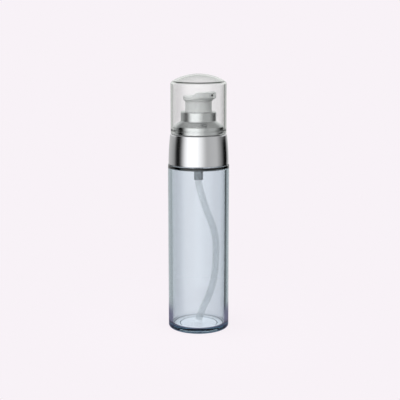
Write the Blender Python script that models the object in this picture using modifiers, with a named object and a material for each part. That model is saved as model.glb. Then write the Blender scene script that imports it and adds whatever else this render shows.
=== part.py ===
"""Pump bottle of about 85 ml: tinted bottle, metal collar, push-button pump and clear overcap.

The bottle stands on the ground plane and every turned piece shares the vertical Z axis.
The viewer looks along +Y, with +X to the right. Lengths are in metres.
"""

import math

import bmesh
import bpy
from mathutils import Matrix, Vector

MM = 0.001

# Clearances
SEAT_GAP = 0.3 * MM
PRESS_GAP = 0.1 * MM
RUNNING_GAP = 0.25 * MM
CUT_OVERRUN = 1.0 * MM

# Bottle body
BODY_RADIUS = 19.0 * MM
BODY_HEIGHT = 104.2 * MM
BODY_WALL = 2.5 * MM
BASE_THICKNESS = 2.8 * MM
FOOT_ROUNDING = 1.4 * MM
FLOOR_ROUNDING = 1.6 * MM
PUSH_UP_RADIUS = 12.0 * MM
PUSH_UP_DEPTH = 0.5 * MM
EDGE_ROUNDING = 0.5 * MM
LEDGE_WIDTH = 1.4 * MM
SHOULDER_RISE = 5.0 * MM
SHOULDER_THICKNESS = 2.0 * MM
SHOULDER_ROUNDING = 1.5 * MM

# Threaded neck
NECK_RISE = 17.4 * MM
NECK_ROOT_RADIUS = 10.9 * MM
NECK_BORE_RADIUS = 8.3 * MM
NECK_RIM_ROUNDING = 0.3 * MM
THREAD_PITCH = 3.175 * MM
THREAD_TURNS = 1.25
THREAD_RISE = 3.0 * MM
THREAD_GAP = 0.3 * MM
NECK_RIDGE_SHARE = 0.315
CORE_RIDGE_SHARE = 0.283
RIDGE_END_SHARE = 0.3
RIDGE_FADE_TURNS = 0.125

# Metal sleeve and its liner
SLEEVE_SETBACK = 0.35 * MM
SLEEVE_SHEET = 0.5 * MM
SLEEVE_OVER_NECK = 1.5 * MM
SLEEVE_EDGE = 0.7 * MM
LINER_WALL = 1.5 * MM
LINER_LIFT = 1.0 * MM

# Closure core and its metal shell
CORE_WALL = 2.5 * MM
CORE_ROOF = 1.2 * MM
BAND_HEIGHT = 4.5 * MM
CONE_RISE = 3.1 * MM
RING_HEIGHT = 5.8 * MM
SHELL_SHEET = 0.4 * MM
SHELL_EDGE = 0.6 * MM
CORE_TUBE_WALL = 1.05 * MM

# Overcap
CAP_WALL = 1.45 * MM
CAP_PLAY = 0.4 * MM
CAP_HEADROOM = 9.3 * MM
CAP_DOME_RISE = 5.05 * MM
CAP_CROWN = 1.45 * MM
CAP_SHOULDER = 2.5 * MM
CAP_CORNER = 1.05 * MM
CAP_RIM_ROUNDING = 0.3 * MM
CAP_BEAD_RISE = 0.2 * MM
CAP_BEAD_WIDTH = 1.0 * MM
CAP_BEAD_HEIGHT = 2.1 * MM
CAP_OVERHANG = 0.25 * MM

# Push button
STROKE = 5.5 * MM
SKIRT_RADIUS = 8.15 * MM
SKIRT_WALL = 1.15 * MM
SKIRT_IN_RING = 1.3 * MM
SKIRT_TO_LIP = 0.55 * MM
SKIRT_TO_TUBE = 1.05 * MM
BUTTON_STOP_GAP = 0.6 * MM
HEAD_OVERHANG = 1.3 * MM
HEAD_FLARE = 1.0 * MM
FLARE_SETBACK = 0.2 * MM
HEAD_RIM = 2.3 * MM
HEAD_ROOF_RISE = 0.5 * MM
HEAD_ROUNDING = 0.45 * MM
SPOUT_ANGLE = math.radians(-47.0)
SPOUT_REACH = 2.55 * MM
SPOUT_HALF_WIDTH = 3.2 * MM
SPOUT_HEIGHT = 4.4 * MM
SPOUT_LIFT = 0.75 * MM
SPOUT_CORNER = 1.0 * MM
PAD_LENGTH_SHARE = 0.22
RAMP_LENGTH_SHARE = 0.36
UNDERCUT_START_SHARE = 0.5
UNDERCUT_LENGTH_SHARE = 0.12
RAMP_ROUNDING = 2.2 * MM
SOCKET_WALL = 0.8 * MM
SOCKET_SETBACK = 0.9 * MM
STEM_ENGAGEMENT = 4.4 * MM
CHANNEL_RADIUS = 0.75 * MM
RISER_RADIUS = 0.9 * MM
RISER_CAP = 1.95 * MM

# Nozzle insert
INSERT_RADIUS = 1.35 * MM
INSERT_RISE = 0.3 * MM
INSERT_LENGTH = 3.2 * MM
INSERT_RECESS = 0.25 * MM
ORIFICE_RADIUS = 0.5 * MM
ORIFICE_LENGTH = 0.6 * MM
COUNTERSINK_RADIUS = 0.85 * MM
COUNTERSINK_DEPTH = 0.4 * MM
INSERT_BORE_RADIUS = 0.95 * MM

# Pump housing
GASKET_THICKNESS = 1.0 * MM
GASKET_SETBACK = 0.3 * MM
FLANGE_THICKNESS = 1.2 * MM
FLANGE_MARGIN = 0.6 * MM
CUP_RADIUS = 6.0 * MM
CUP_WALL = 1.6 * MM
CUP_DEPTH = 3.4 * MM
CUP_FLOOR = 0.9 * MM
CHAMBER_RADIUS = 3.3 * MM
CHAMBER_WALL = 1.3 * MM
CHAMBER_TAPER = 2.2 * MM
TAIL_RADIUS = 2.8 * MM
POCKET_RADIUS = 1.8 * MM
POCKET_TAPER = 0.7 * MM
SEAT_BORE_RADIUS = 0.9 * MM
SEAT_BORE_LENGTH = 0.8 * MM

# Retainer and stem seal
RETAINER_FLANGE_RADIUS = 7.5 * MM
RETAINER_ROOF = 1.0 * MM
RETAINER_GUIDE_WALL = 1.75 * MM
RETAINER_GUIDE_HEIGHT = 4.3 * MM
RETAINER_PLUG_WALL = 1.25 * MM
RETAINER_PLUG_GAP = 0.15 * MM
SEAL_THICKNESS = 0.6 * MM

# Stem, rod and piston
STEM_RADIUS = 2.2 * MM
STEM_BORE_RADIUS = 1.3 * MM
STEM_FLANGE_GAP = 0.25 * MM
STEM_FLANGE_THICKNESS = 1.0 * MM
STEM_FOOT = 1.6 * MM
STEM_SLOT_WIDTH = 0.8 * MM
STEM_SLOT_HEIGHT = 1.0 * MM
ROD_PLUG_DEPTH = 2.6 * MM
ROD_FLANGE_RADIUS = 2.9 * MM
ROD_FLANGE_THICKNESS = 1.2 * MM
ROD_SPIGOT_RADIUS = 1.6 * MM
ROD_SPIGOT_LENGTH = 1.9 * MM
ROD_FLUTES = 3
FLUTE_RADIUS = 0.35 * MM
PISTON_HEIGHT = 3.0 * MM
PISTON_SLIP = 0.8 * MM
PISTON_LIP_GAP = 0.15 * MM
PISTON_WAIST_DEPTH = 0.5 * MM
PISTON_LIP_HEIGHT = 0.7 * MM

# Return spring, ball and cage
SPRING_LENGTH = 9.0 * MM
SPRING_TURNS = 5
SPRING_WIRE_RADIUS = 0.25 * MM
SPRING_RADIUS = 2.25 * MM
CAGE_THICKNESS = 0.9 * MM
CAGE_GAP = 0.2 * MM
CAGE_HOLE_RADIUS = 0.7 * MM
CAGE_SLOT_WIDTH = 0.6 * MM
CAGE_SLOT_REACH = 2.0 * MM
BALL_RADIUS = 1.5 * MM
BALL_LIFT = 0.8 * MM
BALL_PLAY = 0.6 * MM

# Dip tube
TUBE_RADIUS = 2.3 * MM
TUBE_WALL = 0.65 * MM
TUBE_SOCKET_DEPTH = 5.5 * MM
TUBE_FLOOR_GAP = 1.2 * MM
TUBE_BOW = 11.1 * MM
TUBE_SET_BACK = 2.0 * MM
TUBE_ROUTE_SHARES = (
    (1.00, 0.00), (0.96, 0.03), (0.86, 0.25), (0.765, 0.51), (0.655, 0.84), (0.56, 0.99),
    (0.47, 1.00), (0.335, 0.94), (0.24, 0.77), (0.16, 0.55), (0.08, 0.24), (0.00, 0.00),
)
TUBE_STEPS_PER_SPAN = 3

# Fineness of the meshes
ROUND_SEGMENTS = 48
SMALL_SEGMENTS = 24
TINY_SEGMENTS = 16
ARC_STEP = math.radians(35.0)
CROWN_STEPS = 5
SLEEVE_STEPS = 4
THREAD_STEPS = 20
SPRING_STEPS = 10
MERGE_DISTANCE = 0.001 * MM

# Heights above the ground, from the bottle's foot to the button
NECK_TOP = BODY_HEIGHT + NECK_RISE
GASKET_BOTTOM = NECK_TOP + SEAT_GAP
FLANGE_BOTTOM = GASKET_BOTTOM + GASKET_THICKNESS + SEAT_GAP
FLANGE_TOP = FLANGE_BOTTOM + FLANGE_THICKNESS
ROOF_BOTTOM = FLANGE_TOP + SEAT_GAP
SLEEVE_BOTTOM = BODY_HEIGHT + SEAT_GAP
SLEEVE_TOP = NECK_TOP + SLEEVE_OVER_NECK
BAND_BOTTOM = SLEEVE_TOP + SEAT_GAP
CONE_BOTTOM = BAND_BOTTOM + BAND_HEIGHT
CONE_TOP = CONE_BOTTOM + CONE_RISE
RING_TOP = CONE_TOP + RING_HEIGHT
SKIRT_BOTTOM = RING_TOP - SKIRT_IN_RING
HEAD_BOTTOM = RING_TOP + STROKE + BUTTON_STOP_GAP
SOCKET_BOTTOM = SKIRT_BOTTOM + SOCKET_SETBACK
STEM_TOP = SOCKET_BOTTOM + STEM_ENGAGEMENT
SPOUT_TOP = HEAD_BOTTOM + HEAD_FLARE + SPOUT_LIFT + SPOUT_HEIGHT
CAP_HEIGHT = SPOUT_TOP + CAP_HEADROOM + CAP_CROWN - BAND_BOTTOM

# Heights inside the pump, from the retainer's roof down
SEAL_BOTTOM = ROOF_BOTTOM - SEAT_GAP - SEAL_THICKNESS
STEM_FLANGE_TOP = SEAL_BOTTOM - SEAT_GAP
STEM_FLANGE_BOTTOM = STEM_FLANGE_TOP - STEM_FLANGE_THICKNESS
STEM_BOTTOM = STEM_FLANGE_BOTTOM - STEM_FOOT
PISTON_TOP = STEM_BOTTOM - PISTON_SLIP - PRESS_GAP
ROD_FLANGE_TOP = PISTON_TOP - PISTON_HEIGHT - SEAT_GAP
ROD_FLANGE_BOTTOM = ROD_FLANGE_TOP - ROD_FLANGE_THICKNESS
SPRING_BOTTOM = ROD_FLANGE_BOTTOM - SEAT_GAP - SPRING_LENGTH
CAGE_BOTTOM = SPRING_BOTTOM - SEAT_GAP - CAGE_THICKNESS
CHAMBER_FLOOR = CAGE_BOTTOM - SEAT_GAP
BALL_CENTRE = CAGE_BOTTOM - BALL_PLAY - BALL_LIFT - BALL_RADIUS
CUP_BOTTOM = FLANGE_TOP - CUP_DEPTH

# Radii that follow from what they enclose
NECK_RIDGE_RADIUS = THREAD_PITCH * NECK_RIDGE_SHARE
CORE_RIDGE_RADIUS = THREAD_PITCH * CORE_RIDGE_SHARE
CORE_BORE_RADIUS = NECK_ROOT_RADIUS + NECK_RIDGE_RADIUS + THREAD_GAP
CORE_RADIUS = CORE_BORE_RADIUS + CORE_WALL
BAND_RADIUS = CORE_RADIUS + SEAT_GAP + SHELL_SHEET
CAP_BORE_RADIUS = BAND_RADIUS + CAP_PLAY
CAP_RADIUS = CAP_BORE_RADIUS + CAP_WALL
CORE_TUBE_BORE_RADIUS = SKIRT_RADIUS + SKIRT_TO_TUBE
CORE_TUBE_RADIUS = CORE_TUBE_BORE_RADIUS + CORE_TUBE_WALL
RING_RADIUS = CORE_TUBE_RADIUS + SEAT_GAP + SHELL_SHEET
LIP_RADIUS = SKIRT_RADIUS + SKIRT_TO_LIP
SLEEVE_TOP_RADIUS = CAP_RADIUS + CAP_OVERHANG
SLEEVE_BOTTOM_RADIUS = BODY_RADIUS - SLEEVE_SETBACK
FLANGE_RADIUS = CORE_BORE_RADIUS - FLANGE_MARGIN
SOCKET_BORE_RADIUS = STEM_RADIUS + PRESS_GAP
HEAD_RADIUS = SKIRT_RADIUS + HEAD_OVERHANG
SPOUT_LENGTH = HEAD_RADIUS + SPOUT_REACH


def clear_scene():
    """Remove every object that the scene holds."""
    for leftover in list(bpy.data.objects):
        bpy.data.objects.remove(leftover, do_unlink=True)


def new_collection(name):
    """A collection linked to the scene."""
    collection = bpy.data.collections.new(name)
    bpy.context.scene.collection.children.link(collection)
    return collection


def new_material(name, colour, roughness, metallic=0.0, transmission=0.0):
    """A Principled material of one colour."""
    material = bpy.data.materials.new(name)
    material.use_nodes = True
    shader = material.node_tree.nodes["Principled BSDF"]
    shader.inputs["Base Color"].default_value = (*colour, 1.0)
    shader.inputs["Roughness"].default_value = roughness
    shader.inputs["Metallic"].default_value = metallic
    shader.inputs["Transmission Weight"].default_value = transmission
    material.diffuse_color = (*colour, 1.0)
    return material


def new_axis(name, height, parent=None):
    """An empty on the bottle's axis that carries the pieces which move together."""
    axis = bpy.data.objects.new(name, None)
    parts.objects.link(axis)
    place(axis, parent, height)
    return axis


def place(piece, group, height):
    """Set a piece on the axis at a height above the ground, under its group's empty."""
    piece.parent = group
    carried = 0.0
    while group:
        carried += group.location.z
        group = group.parent
    piece.location.z = height - carried


def rounded_corner(before, corner, after, radius):
    """Points of the arc that rounds one corner of an outline."""
    inward = (before - corner).normalized()
    onward = (after - corner).normalized()
    half_angle = inward.angle(onward) / 2
    centre = corner + (inward + onward).normalized() * (radius / math.sin(half_angle))
    spoke = corner + inward * (radius / math.tan(half_angle)) - centre
    turn = math.pi - 2 * half_angle
    if inward.cross(onward) > 0:
        turn = -turn
    steps = max(1, round(abs(turn) / ARC_STEP))
    return [centre + Matrix.Rotation(turn * step / steps, 2) @ spoke for step in range(steps + 1)]


def outline(corners, closed):
    """Points along corners given as (across, up) or (across, up, rounding radius)."""
    places = [Vector(corner[:2]) for corner in corners]
    points = []
    for index, corner in enumerate(corners):
        if len(corner) == 2:
            points.append(places[index])
            continue
        before = places[index - 1]
        after = places[(index + 1) % len(places)]
        points.extend(rounded_corner(before, places[index], after, corner[2]))
    if closed:
        points.append(points[0])
    return points


def turned(name, corners, material, closed=True, segments=ROUND_SEGMENTS):
    """Body of revolution whose outline runs down its outer side and back up its inner side."""
    points = outline(corners, closed)
    if closed:
        points = points[:-1]
    count = len(points)
    edges = [(index, index + 1) for index in range(count - 1)]
    if closed:
        edges.append((count - 1, 0))
    mesh = bpy.data.meshes.new(name)
    mesh.from_pydata([(point.x, 0.0, point.y) for point in points], edges, [])
    body = bpy.data.objects.new(name, mesh)
    turn = body.modifiers.new("Turn", "SCREW")
    turn.steps = segments
    turn.render_steps = segments
    turn.use_merge_vertices = True
    turn.merge_threshold = MERGE_DISTANCE
    turn.use_smooth_shade = True
    mesh.materials.append(material)
    parts.objects.link(body)
    return body


def turned_sheet(name, corners, thickness, material):
    """Spun sheet metal: an open turned surface that gets its thickness inwards."""
    sheet = turned(name, corners, material, closed=False)
    wall = sheet.modifiers.new("Sheet", "SOLIDIFY")
    wall.thickness = thickness
    wall.offset = -1.0
    wall.use_even_offset = True
    return sheet


def as_cutter(piece):
    """Keep an object only as a tool for the pieces that it cuts or joins."""
    piece.hide_render = True
    piece.display_type = "WIRE"
    return piece


def combine(piece, tool, operation, solver="EXACT"):
    """Cut a piece by a tool, or join the tool to it."""
    step = piece.modifiers.new(tool.name, "BOOLEAN")
    step.operation = operation
    step.solver = solver
    step.object = tool


def cylinder_cutter(name, radius, start, end, segments=SMALL_SEGMENTS):
    """Cylinder between two points."""
    start = Vector(start)
    run = Vector(end) - start
    mesh = bpy.data.meshes.new(name)
    shape = bmesh.new()
    bmesh.ops.create_cone(shape, cap_ends=True, segments=segments,
                          radius1=radius, radius2=radius, depth=run.length)
    shape.to_mesh(mesh)
    shape.free()
    cutter = bpy.data.objects.new(name, mesh)
    cutter.rotation_euler = run.to_track_quat("Z", "Y").to_euler()
    cutter.location = start + run / 2
    cutters.objects.link(cutter)
    return as_cutter(cutter)


def box_cutter(name, size, centre):
    """Box of the given size about a centre."""
    mesh = bpy.data.meshes.new(name)
    shape = bmesh.new()
    bmesh.ops.create_cube(shape, size=1.0, matrix=Matrix.Diagonal((*size, 1.0)))
    shape.to_mesh(mesh)
    shape.free()
    cutter = bpy.data.objects.new(name, mesh)
    cutter.location = centre
    cutters.objects.link(cutter)
    return as_cutter(cutter)


def tube_along(name, points, radius, resolution, widths=None):
    """Closed round tube along a list of points, each with its share of the radius."""
    curve = bpy.data.curves.new(name, "CURVE")
    curve.dimensions = "3D"
    curve.bevel_depth = radius
    curve.bevel_resolution = resolution
    curve.use_fill_caps = True
    spline = curve.splines.new("POLY")
    spline.points.add(len(points) - 1)
    for index, point in enumerate(points):
        spline.points[index].co = (*point, 1.0)
        spline.points[index].radius = widths[index] if widths else 1.0
    return bpy.data.objects.new(name, curve)


def meshed(curve_object, shelf):
    """Turn a curve object into a closed mesh object with its caps welded on."""
    bpy.context.scene.collection.objects.link(curve_object)
    bpy.context.view_layer.update()
    evaluated = curve_object.evaluated_get(bpy.context.evaluated_depsgraph_get())
    mesh = bpy.data.meshes.new_from_object(evaluated)
    shape = bmesh.new()
    shape.from_mesh(mesh)
    bmesh.ops.remove_doubles(shape, verts=shape.verts, dist=MERGE_DISTANCE)
    shape.to_mesh(mesh)
    shape.free()
    name = curve_object.name
    solid = bpy.data.objects.new(name + "_solid", mesh)
    solid.matrix_world = curve_object.matrix_world
    bpy.data.objects.remove(curve_object, do_unlink=True)
    solid.name = name
    shelf.objects.link(solid)
    return solid


def flat_prism(name, points, thickness):
    """Flat outline in its own XY plane, extruded by half its thickness to each side."""
    curve = bpy.data.curves.new(name, "CURVE")
    curve.dimensions = "2D"
    curve.fill_mode = "BOTH"
    curve.extrude = thickness / 2
    spline = curve.splines.new("POLY")
    spline.points.add(len(points) - 1)
    for index, point in enumerate(points):
        spline.points[index].co = (point.x, point.y, 0.0, 1.0)
    spline.use_cyclic_u = True
    return bpy.data.objects.new(name, curve)


def helix(radius, pitch, turns, start_height, steps_per_turn):
    """Points of a right-hand helix about Z."""
    count = round(turns * steps_per_turn)
    points = []
    for index in range(count + 1):
        angle = index / count * turns * math.tau
        height = start_height + pitch * angle / math.tau
        points.append(Vector((radius * math.cos(angle), radius * math.sin(angle), height)))
    return points


def thread_ridge(name, radius, start_height, ridge_radius):
    """Rounded screw ridge that fades out at both ends."""
    points = helix(radius, THREAD_PITCH, THREAD_TURNS, start_height, THREAD_STEPS)
    fade = RIDGE_FADE_TURNS * THREAD_STEPS
    last = len(points) - 1
    widths = []
    for index in range(len(points)):
        run_in = min(1.0, min(index, last - index) / fade)
        widths.append(RIDGE_END_SHARE + (1.0 - RIDGE_END_SHARE) * run_in)
    return as_cutter(meshed(tube_along(name, points, ridge_radius, 2, widths), cutters))


def crown_arc(radius, rise, top):
    """Points of a shallow dome from the axis to its edge, as a circle arc."""
    ball = (radius ** 2 + rise ** 2) / (2 * rise)
    reach = math.asin(radius / ball)
    angles = [reach * step / CROWN_STEPS for step in range(CROWN_STEPS)]
    return [(ball * math.sin(angle), top - ball * (1 - math.cos(angle))) for angle in angles]


def sleeve_radius(height):
    """Outer radius of the sleeve: a shallow parabola that is upright at the bottom rim."""
    draw_in = SLEEVE_BOTTOM_RADIUS - SLEEVE_TOP_RADIUS
    climbed_share = (height - SLEEVE_BOTTOM) / (SLEEVE_TOP - SLEEVE_BOTTOM)
    return SLEEVE_BOTTOM_RADIUS - draw_in * climbed_share ** 2


def make_bottle():
    """Blown bottle with a thick base, a ledge for the sleeve and a threaded neck."""
    inner = BODY_RADIUS - BODY_WALL
    foot = BODY_RADIUS - LEDGE_WIDTH
    slope = SHOULDER_RISE / (foot - NECK_ROOT_RADIUS)
    under_ledge = BODY_HEIGHT - SHOULDER_THICKNESS
    under_neck = under_ledge + slope * (inner - NECK_BORE_RADIUS)
    bottle = turned("bottle", [
        (0.0, BASE_THICKNESS),
        (inner, BASE_THICKNESS, FLOOR_ROUNDING),
        (inner, under_ledge, SHOULDER_ROUNDING),
        (NECK_BORE_RADIUS, under_neck, SHOULDER_ROUNDING),
        (NECK_BORE_RADIUS, NECK_TOP),
        (NECK_ROOT_RADIUS, NECK_TOP, NECK_RIM_ROUNDING),
        (NECK_ROOT_RADIUS, BODY_HEIGHT + SHOULDER_RISE),
        (foot, BODY_HEIGHT),
        (BODY_RADIUS, BODY_HEIGHT, EDGE_ROUNDING),
        (BODY_RADIUS, 0.0, FOOT_ROUNDING),
        (PUSH_UP_RADIUS, 0.0),
        (PUSH_UP_RADIUS - PUSH_UP_DEPTH, PUSH_UP_DEPTH),
        (0.0, PUSH_UP_DEPTH),
    ], tinted_plastic, closed=False)
    thread_start = BODY_HEIGHT + SHOULDER_RISE + THREAD_RISE
    ridge = thread_ridge("neck_thread", NECK_ROOT_RADIUS, thread_start, NECK_RIDGE_RADIUS)
    combine(bottle, ridge, "UNION")


def make_sleeve():
    """Polished sleeve over the shoulder, with a flat ledge for the overcap."""
    inner_edge = CORE_RADIUS + SEAT_GAP
    rise = SLEEVE_TOP - SLEEVE_BOTTOM
    corners = [
        (inner_edge, rise),
        (SLEEVE_TOP_RADIUS, rise, SLEEVE_EDGE),
    ]
    for step in range(SLEEVE_STEPS - 1, -1, -1):
        climbed = rise * step / SLEEVE_STEPS
        corners.append((sleeve_radius(SLEEVE_BOTTOM + climbed), climbed))
    sleeve = turned_sheet("shoulder_sleeve", corners, SLEEVE_SHEET, polished_aluminium)
    place(sleeve, closure_axis, SLEEVE_BOTTOM)


def make_liner():
    """Plastic ring between the sleeve and the closure core."""
    inset = SLEEVE_SHEET + SEAT_GAP
    top = SLEEVE_TOP - inset
    bottom = SLEEVE_BOTTOM + LINER_LIFT
    heights = [top + (bottom - top) * step / SLEEVE_STEPS for step in range(SLEEVE_STEPS + 1)]
    outer = [(sleeve_radius(height) - inset, height) for height in heights]
    inner = [(radius - LINER_WALL, height) for radius, height in reversed(outer[1:])]
    grip = CORE_RADIUS + SEAT_GAP
    corners = outer + inner[:-1]
    corners += [(inner[-1][0], top - LINER_WALL), (grip, top - LINER_WALL), (grip, top)]
    liner = turned("sleeve_liner", [(radius, height - bottom) for radius, height in corners],
                   white_plastic)
    place(liner, closure_axis, bottom)


def make_core():
    """Screw closure: threaded skirt, conical roof and the tube behind the metal ring."""
    bottom = BODY_HEIGHT + SHOULDER_RISE + SEAT_GAP
    slope = CONE_RISE / (BAND_RADIUS - RING_RADIUS)
    drop = (SHELL_SHEET + SEAT_GAP) * (math.sqrt(1 + slope ** 2) - slope)
    roof_edge = CONE_BOTTOM - drop
    roof_top = roof_edge + slope * (CORE_RADIUS - CORE_TUBE_RADIUS)
    roof_drop = CORE_ROOF * math.sqrt(1 + slope ** 2)
    tube_top = RING_TOP - SHELL_SHEET - SEAT_GAP
    corners = [
        (CORE_TUBE_BORE_RADIUS, tube_top),
        (CORE_TUBE_RADIUS, tube_top),
        (CORE_TUBE_RADIUS, roof_top),
        (CORE_RADIUS, roof_edge),
        (CORE_RADIUS, bottom),
        (CORE_BORE_RADIUS, bottom),
        (CORE_BORE_RADIUS, roof_edge + slope * (CORE_RADIUS - CORE_BORE_RADIUS) - roof_drop),
        (CORE_TUBE_RADIUS, roof_top - roof_drop),
        (CORE_TUBE_RADIUS, ROOF_BOTTOM),
        (CORE_TUBE_BORE_RADIUS, ROOF_BOTTOM),
    ]
    core = turned("closure_core", [(radius, height - bottom) for radius, height in corners],
                  white_plastic)
    place(core, closure_axis, bottom)
    thread_start = BODY_HEIGHT + SHOULDER_RISE + THREAD_RISE - THREAD_PITCH / 2
    ridge = thread_ridge("core_thread", CORE_BORE_RADIUS, thread_start, CORE_RIDGE_RADIUS)
    combine(core, ridge, "UNION")


def make_shell():
    """Spun metal shell: seat band, cone and the inner ring with its lip."""
    shell = turned_sheet("collar_shell", [
        (LIP_RADIUS, RING_TOP - BAND_BOTTOM),
        (RING_RADIUS, RING_TOP - BAND_BOTTOM, SHELL_EDGE),
        (RING_RADIUS, CONE_TOP - BAND_BOTTOM),
        (BAND_RADIUS, BAND_HEIGHT, SHELL_EDGE),
        (BAND_RADIUS, 0.0),
    ], SHELL_SHEET, polished_aluminium)
    place(shell, closure_axis, BAND_BOTTOM)


def make_overcap():
    """Thick clear cap: domed crown, a ceiling domed with it and a snap bead inside the rim."""
    crown = crown_arc(CAP_RADIUS, CAP_DOME_RISE, CAP_HEIGHT)
    under_crown = CAP_HEIGHT - CAP_CROWN
    ceiling_ball = (CAP_RADIUS ** 2 + CAP_DOME_RISE ** 2) / (2 * CAP_DOME_RISE) - CAP_CROWN
    ceiling_rise = ceiling_ball - math.sqrt(ceiling_ball ** 2 - CAP_BORE_RADIUS ** 2)
    ceiling = crown_arc(CAP_BORE_RADIUS, ceiling_rise, under_crown)
    bead_top = CAP_BEAD_HEIGHT + CAP_BEAD_WIDTH / 2
    bead_bottom = CAP_BEAD_HEIGHT - CAP_BEAD_WIDTH / 2
    overcap = turned("overcap", crown + [
        (CAP_RADIUS, CAP_HEIGHT - CAP_DOME_RISE, CAP_SHOULDER),
        (CAP_RADIUS, 0.0, CAP_RIM_ROUNDING),
        (CAP_BORE_RADIUS, 0.0, CAP_RIM_ROUNDING),
        (CAP_BORE_RADIUS, bead_bottom),
        (CAP_BORE_RADIUS - CAP_BEAD_RISE, CAP_BEAD_HEIGHT),
        (CAP_BORE_RADIUS, bead_top),
        (CAP_BORE_RADIUS, under_crown - ceiling_rise, CAP_CORNER),
    ] + ceiling[::-1], clear_plastic, closed=False)
    place(overcap, cap_axis, BAND_BOTTOM)


def spout_plan():
    """Plan of the button's head: a round rear that narrows in tangents to the spout's end."""
    nose_reach = math.hypot(SPOUT_LENGTH, SPOUT_HALF_WIDTH)
    nose_angle = math.atan2(SPOUT_HALF_WIDTH, SPOUT_LENGTH)
    leave_angle = nose_angle + math.acos(HEAD_RADIUS / nose_reach)
    sweep = math.tau - 2 * leave_angle
    corners = []
    for step in range(SMALL_SEGMENTS + 1):
        angle = leave_angle + sweep * step / SMALL_SEGMENTS
        corners.append((HEAD_RADIUS * math.cos(angle), HEAD_RADIUS * math.sin(angle)))
    corners.append((SPOUT_LENGTH, -SPOUT_HALF_WIDTH, SPOUT_CORNER))
    corners.append((SPOUT_LENGTH, SPOUT_HALF_WIDTH, SPOUT_CORNER))
    return outline(corners, closed=False)


def spout_side():
    """Side view of the button's head: a level finger pad that ramps up to the spout."""
    rim = HEAD_FLARE
    pad = rim + HEAD_RIM
    spout_bottom = rim + SPOUT_LIFT
    spout_top = spout_bottom + SPOUT_HEIGHT
    reach = HEAD_RADIUS + CUT_OVERRUN
    nose = SPOUT_LENGTH + CUT_OVERRUN
    ramp_start = SPOUT_LENGTH * PAD_LENGTH_SHARE
    ramp_end = ramp_start + SPOUT_LENGTH * RAMP_LENGTH_SHARE
    lift_start = SPOUT_LENGTH * UNDERCUT_START_SHARE
    lift_end = lift_start + SPOUT_LENGTH * UNDERCUT_LENGTH_SHARE
    return outline([
        (-reach, rim),
        (lift_start, rim),
        (lift_end, spout_bottom),
        (nose, spout_bottom),
        (nose, spout_top),
        (ramp_end, spout_top, RAMP_ROUNDING),
        (ramp_start, pad, RAMP_ROUNDING),
        (-reach, pad),
    ], closed=False)


def make_button():
    """Push button: skirt, head with a short spout, stem socket and slanted channel."""
    spout_top = SPOUT_TOP - HEAD_BOTTOM
    side = flat_prism("head_side", spout_side(), 2 * (HEAD_RADIUS + CUT_OVERRUN))
    side.rotation_euler.x = math.pi / 2
    side = as_cutter(meshed(side, cutters))
    head = flat_prism("head_plan", spout_plan(), 2 * (spout_top + CUT_OVERRUN))
    head = as_cutter(meshed(head, cutters))
    combine(head, side, "INTERSECT")
    rounding = head.modifiers.new("Rounding", "BEVEL")
    rounding.width = HEAD_ROUNDING
    rounding.segments = 2
    rounding.limit_method = "ANGLE"
    rounding.angle_limit = ARC_STEP

    flare_radius = HEAD_RADIUS - FLARE_SETBACK
    inner = SKIRT_RADIUS - SKIRT_WALL
    skirt_foot = SKIRT_BOTTOM - HEAD_BOTTOM
    socket_foot = SOCKET_BOTTOM - HEAD_BOTTOM
    socket_radius = SOCKET_BORE_RADIUS + SOCKET_WALL
    socket_end = STEM_TOP + SEAT_GAP - HEAD_BOTTOM
    riser_end = HEAD_FLARE + HEAD_RIM - RISER_CAP + CHANNEL_RADIUS
    button = turned("actuator", [
        (0.0, HEAD_FLARE + HEAD_RIM / 2),
        (flare_radius, HEAD_FLARE + HEAD_RIM / 2),
        (flare_radius, HEAD_FLARE - FLARE_SETBACK),
        (SKIRT_RADIUS, 0.0),
        (SKIRT_RADIUS, skirt_foot),
        (inner, skirt_foot),
        (inner, HEAD_ROOF_RISE),
        (socket_radius, HEAD_ROOF_RISE),
        (socket_radius, socket_foot),
        (SOCKET_BORE_RADIUS, socket_foot),
        (SOCKET_BORE_RADIUS, socket_end),
        (RISER_RADIUS, socket_end),
        (RISER_RADIUS, riser_end),
        (0.0, riser_end),
    ], button_plastic, closed=False, segments=2 * SMALL_SEGMENTS)
    place(button, button_axis, HEAD_BOTTOM)
    button.rotation_euler.z = SPOUT_ANGLE
    combine(button, head, "UNION", solver="MANIFOLD")

    insert_height = spout_top - SPOUT_HEIGHT / 2 + INSERT_RISE
    pocket_start = SPOUT_LENGTH - INSERT_RECESS - INSERT_LENGTH - SEAT_GAP
    pocket = cylinder_cutter("insert_pocket", INSERT_RADIUS + PRESS_GAP,
                             (pocket_start, 0.0, insert_height),
                             (SPOUT_LENGTH + CUT_OVERRUN, 0.0, insert_height))
    channel = cylinder_cutter("spout_channel", CHANNEL_RADIUS,
                              (0.0, 0.0, riser_end - CHANNEL_RADIUS - RUNNING_GAP / 2),
                              (pocket_start + CHANNEL_RADIUS, 0.0, insert_height),
                              TINY_SEGMENTS)
    for tool in (side, head, pocket, channel):
        tool.parent = button
    combine(button, pocket, "DIFFERENCE")
    combine(button, channel, "DIFFERENCE")

    throat = INSERT_LENGTH - COUNTERSINK_DEPTH - ORIFICE_LENGTH
    insert = turned("nozzle_insert", [
        (COUNTERSINK_RADIUS, INSERT_LENGTH),
        (INSERT_RADIUS, INSERT_LENGTH),
        (INSERT_RADIUS, 0.0),
        (INSERT_BORE_RADIUS, 0.0),
        (INSERT_BORE_RADIUS, throat),
        (ORIFICE_RADIUS, throat),
        (ORIFICE_RADIUS, throat + ORIFICE_LENGTH),
    ], button_plastic, segments=SMALL_SEGMENTS)
    insert.parent = button
    insert.rotation_euler.y = math.pi / 2
    insert.location = (pocket_start + SEAT_GAP, 0.0, insert_height)


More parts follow.
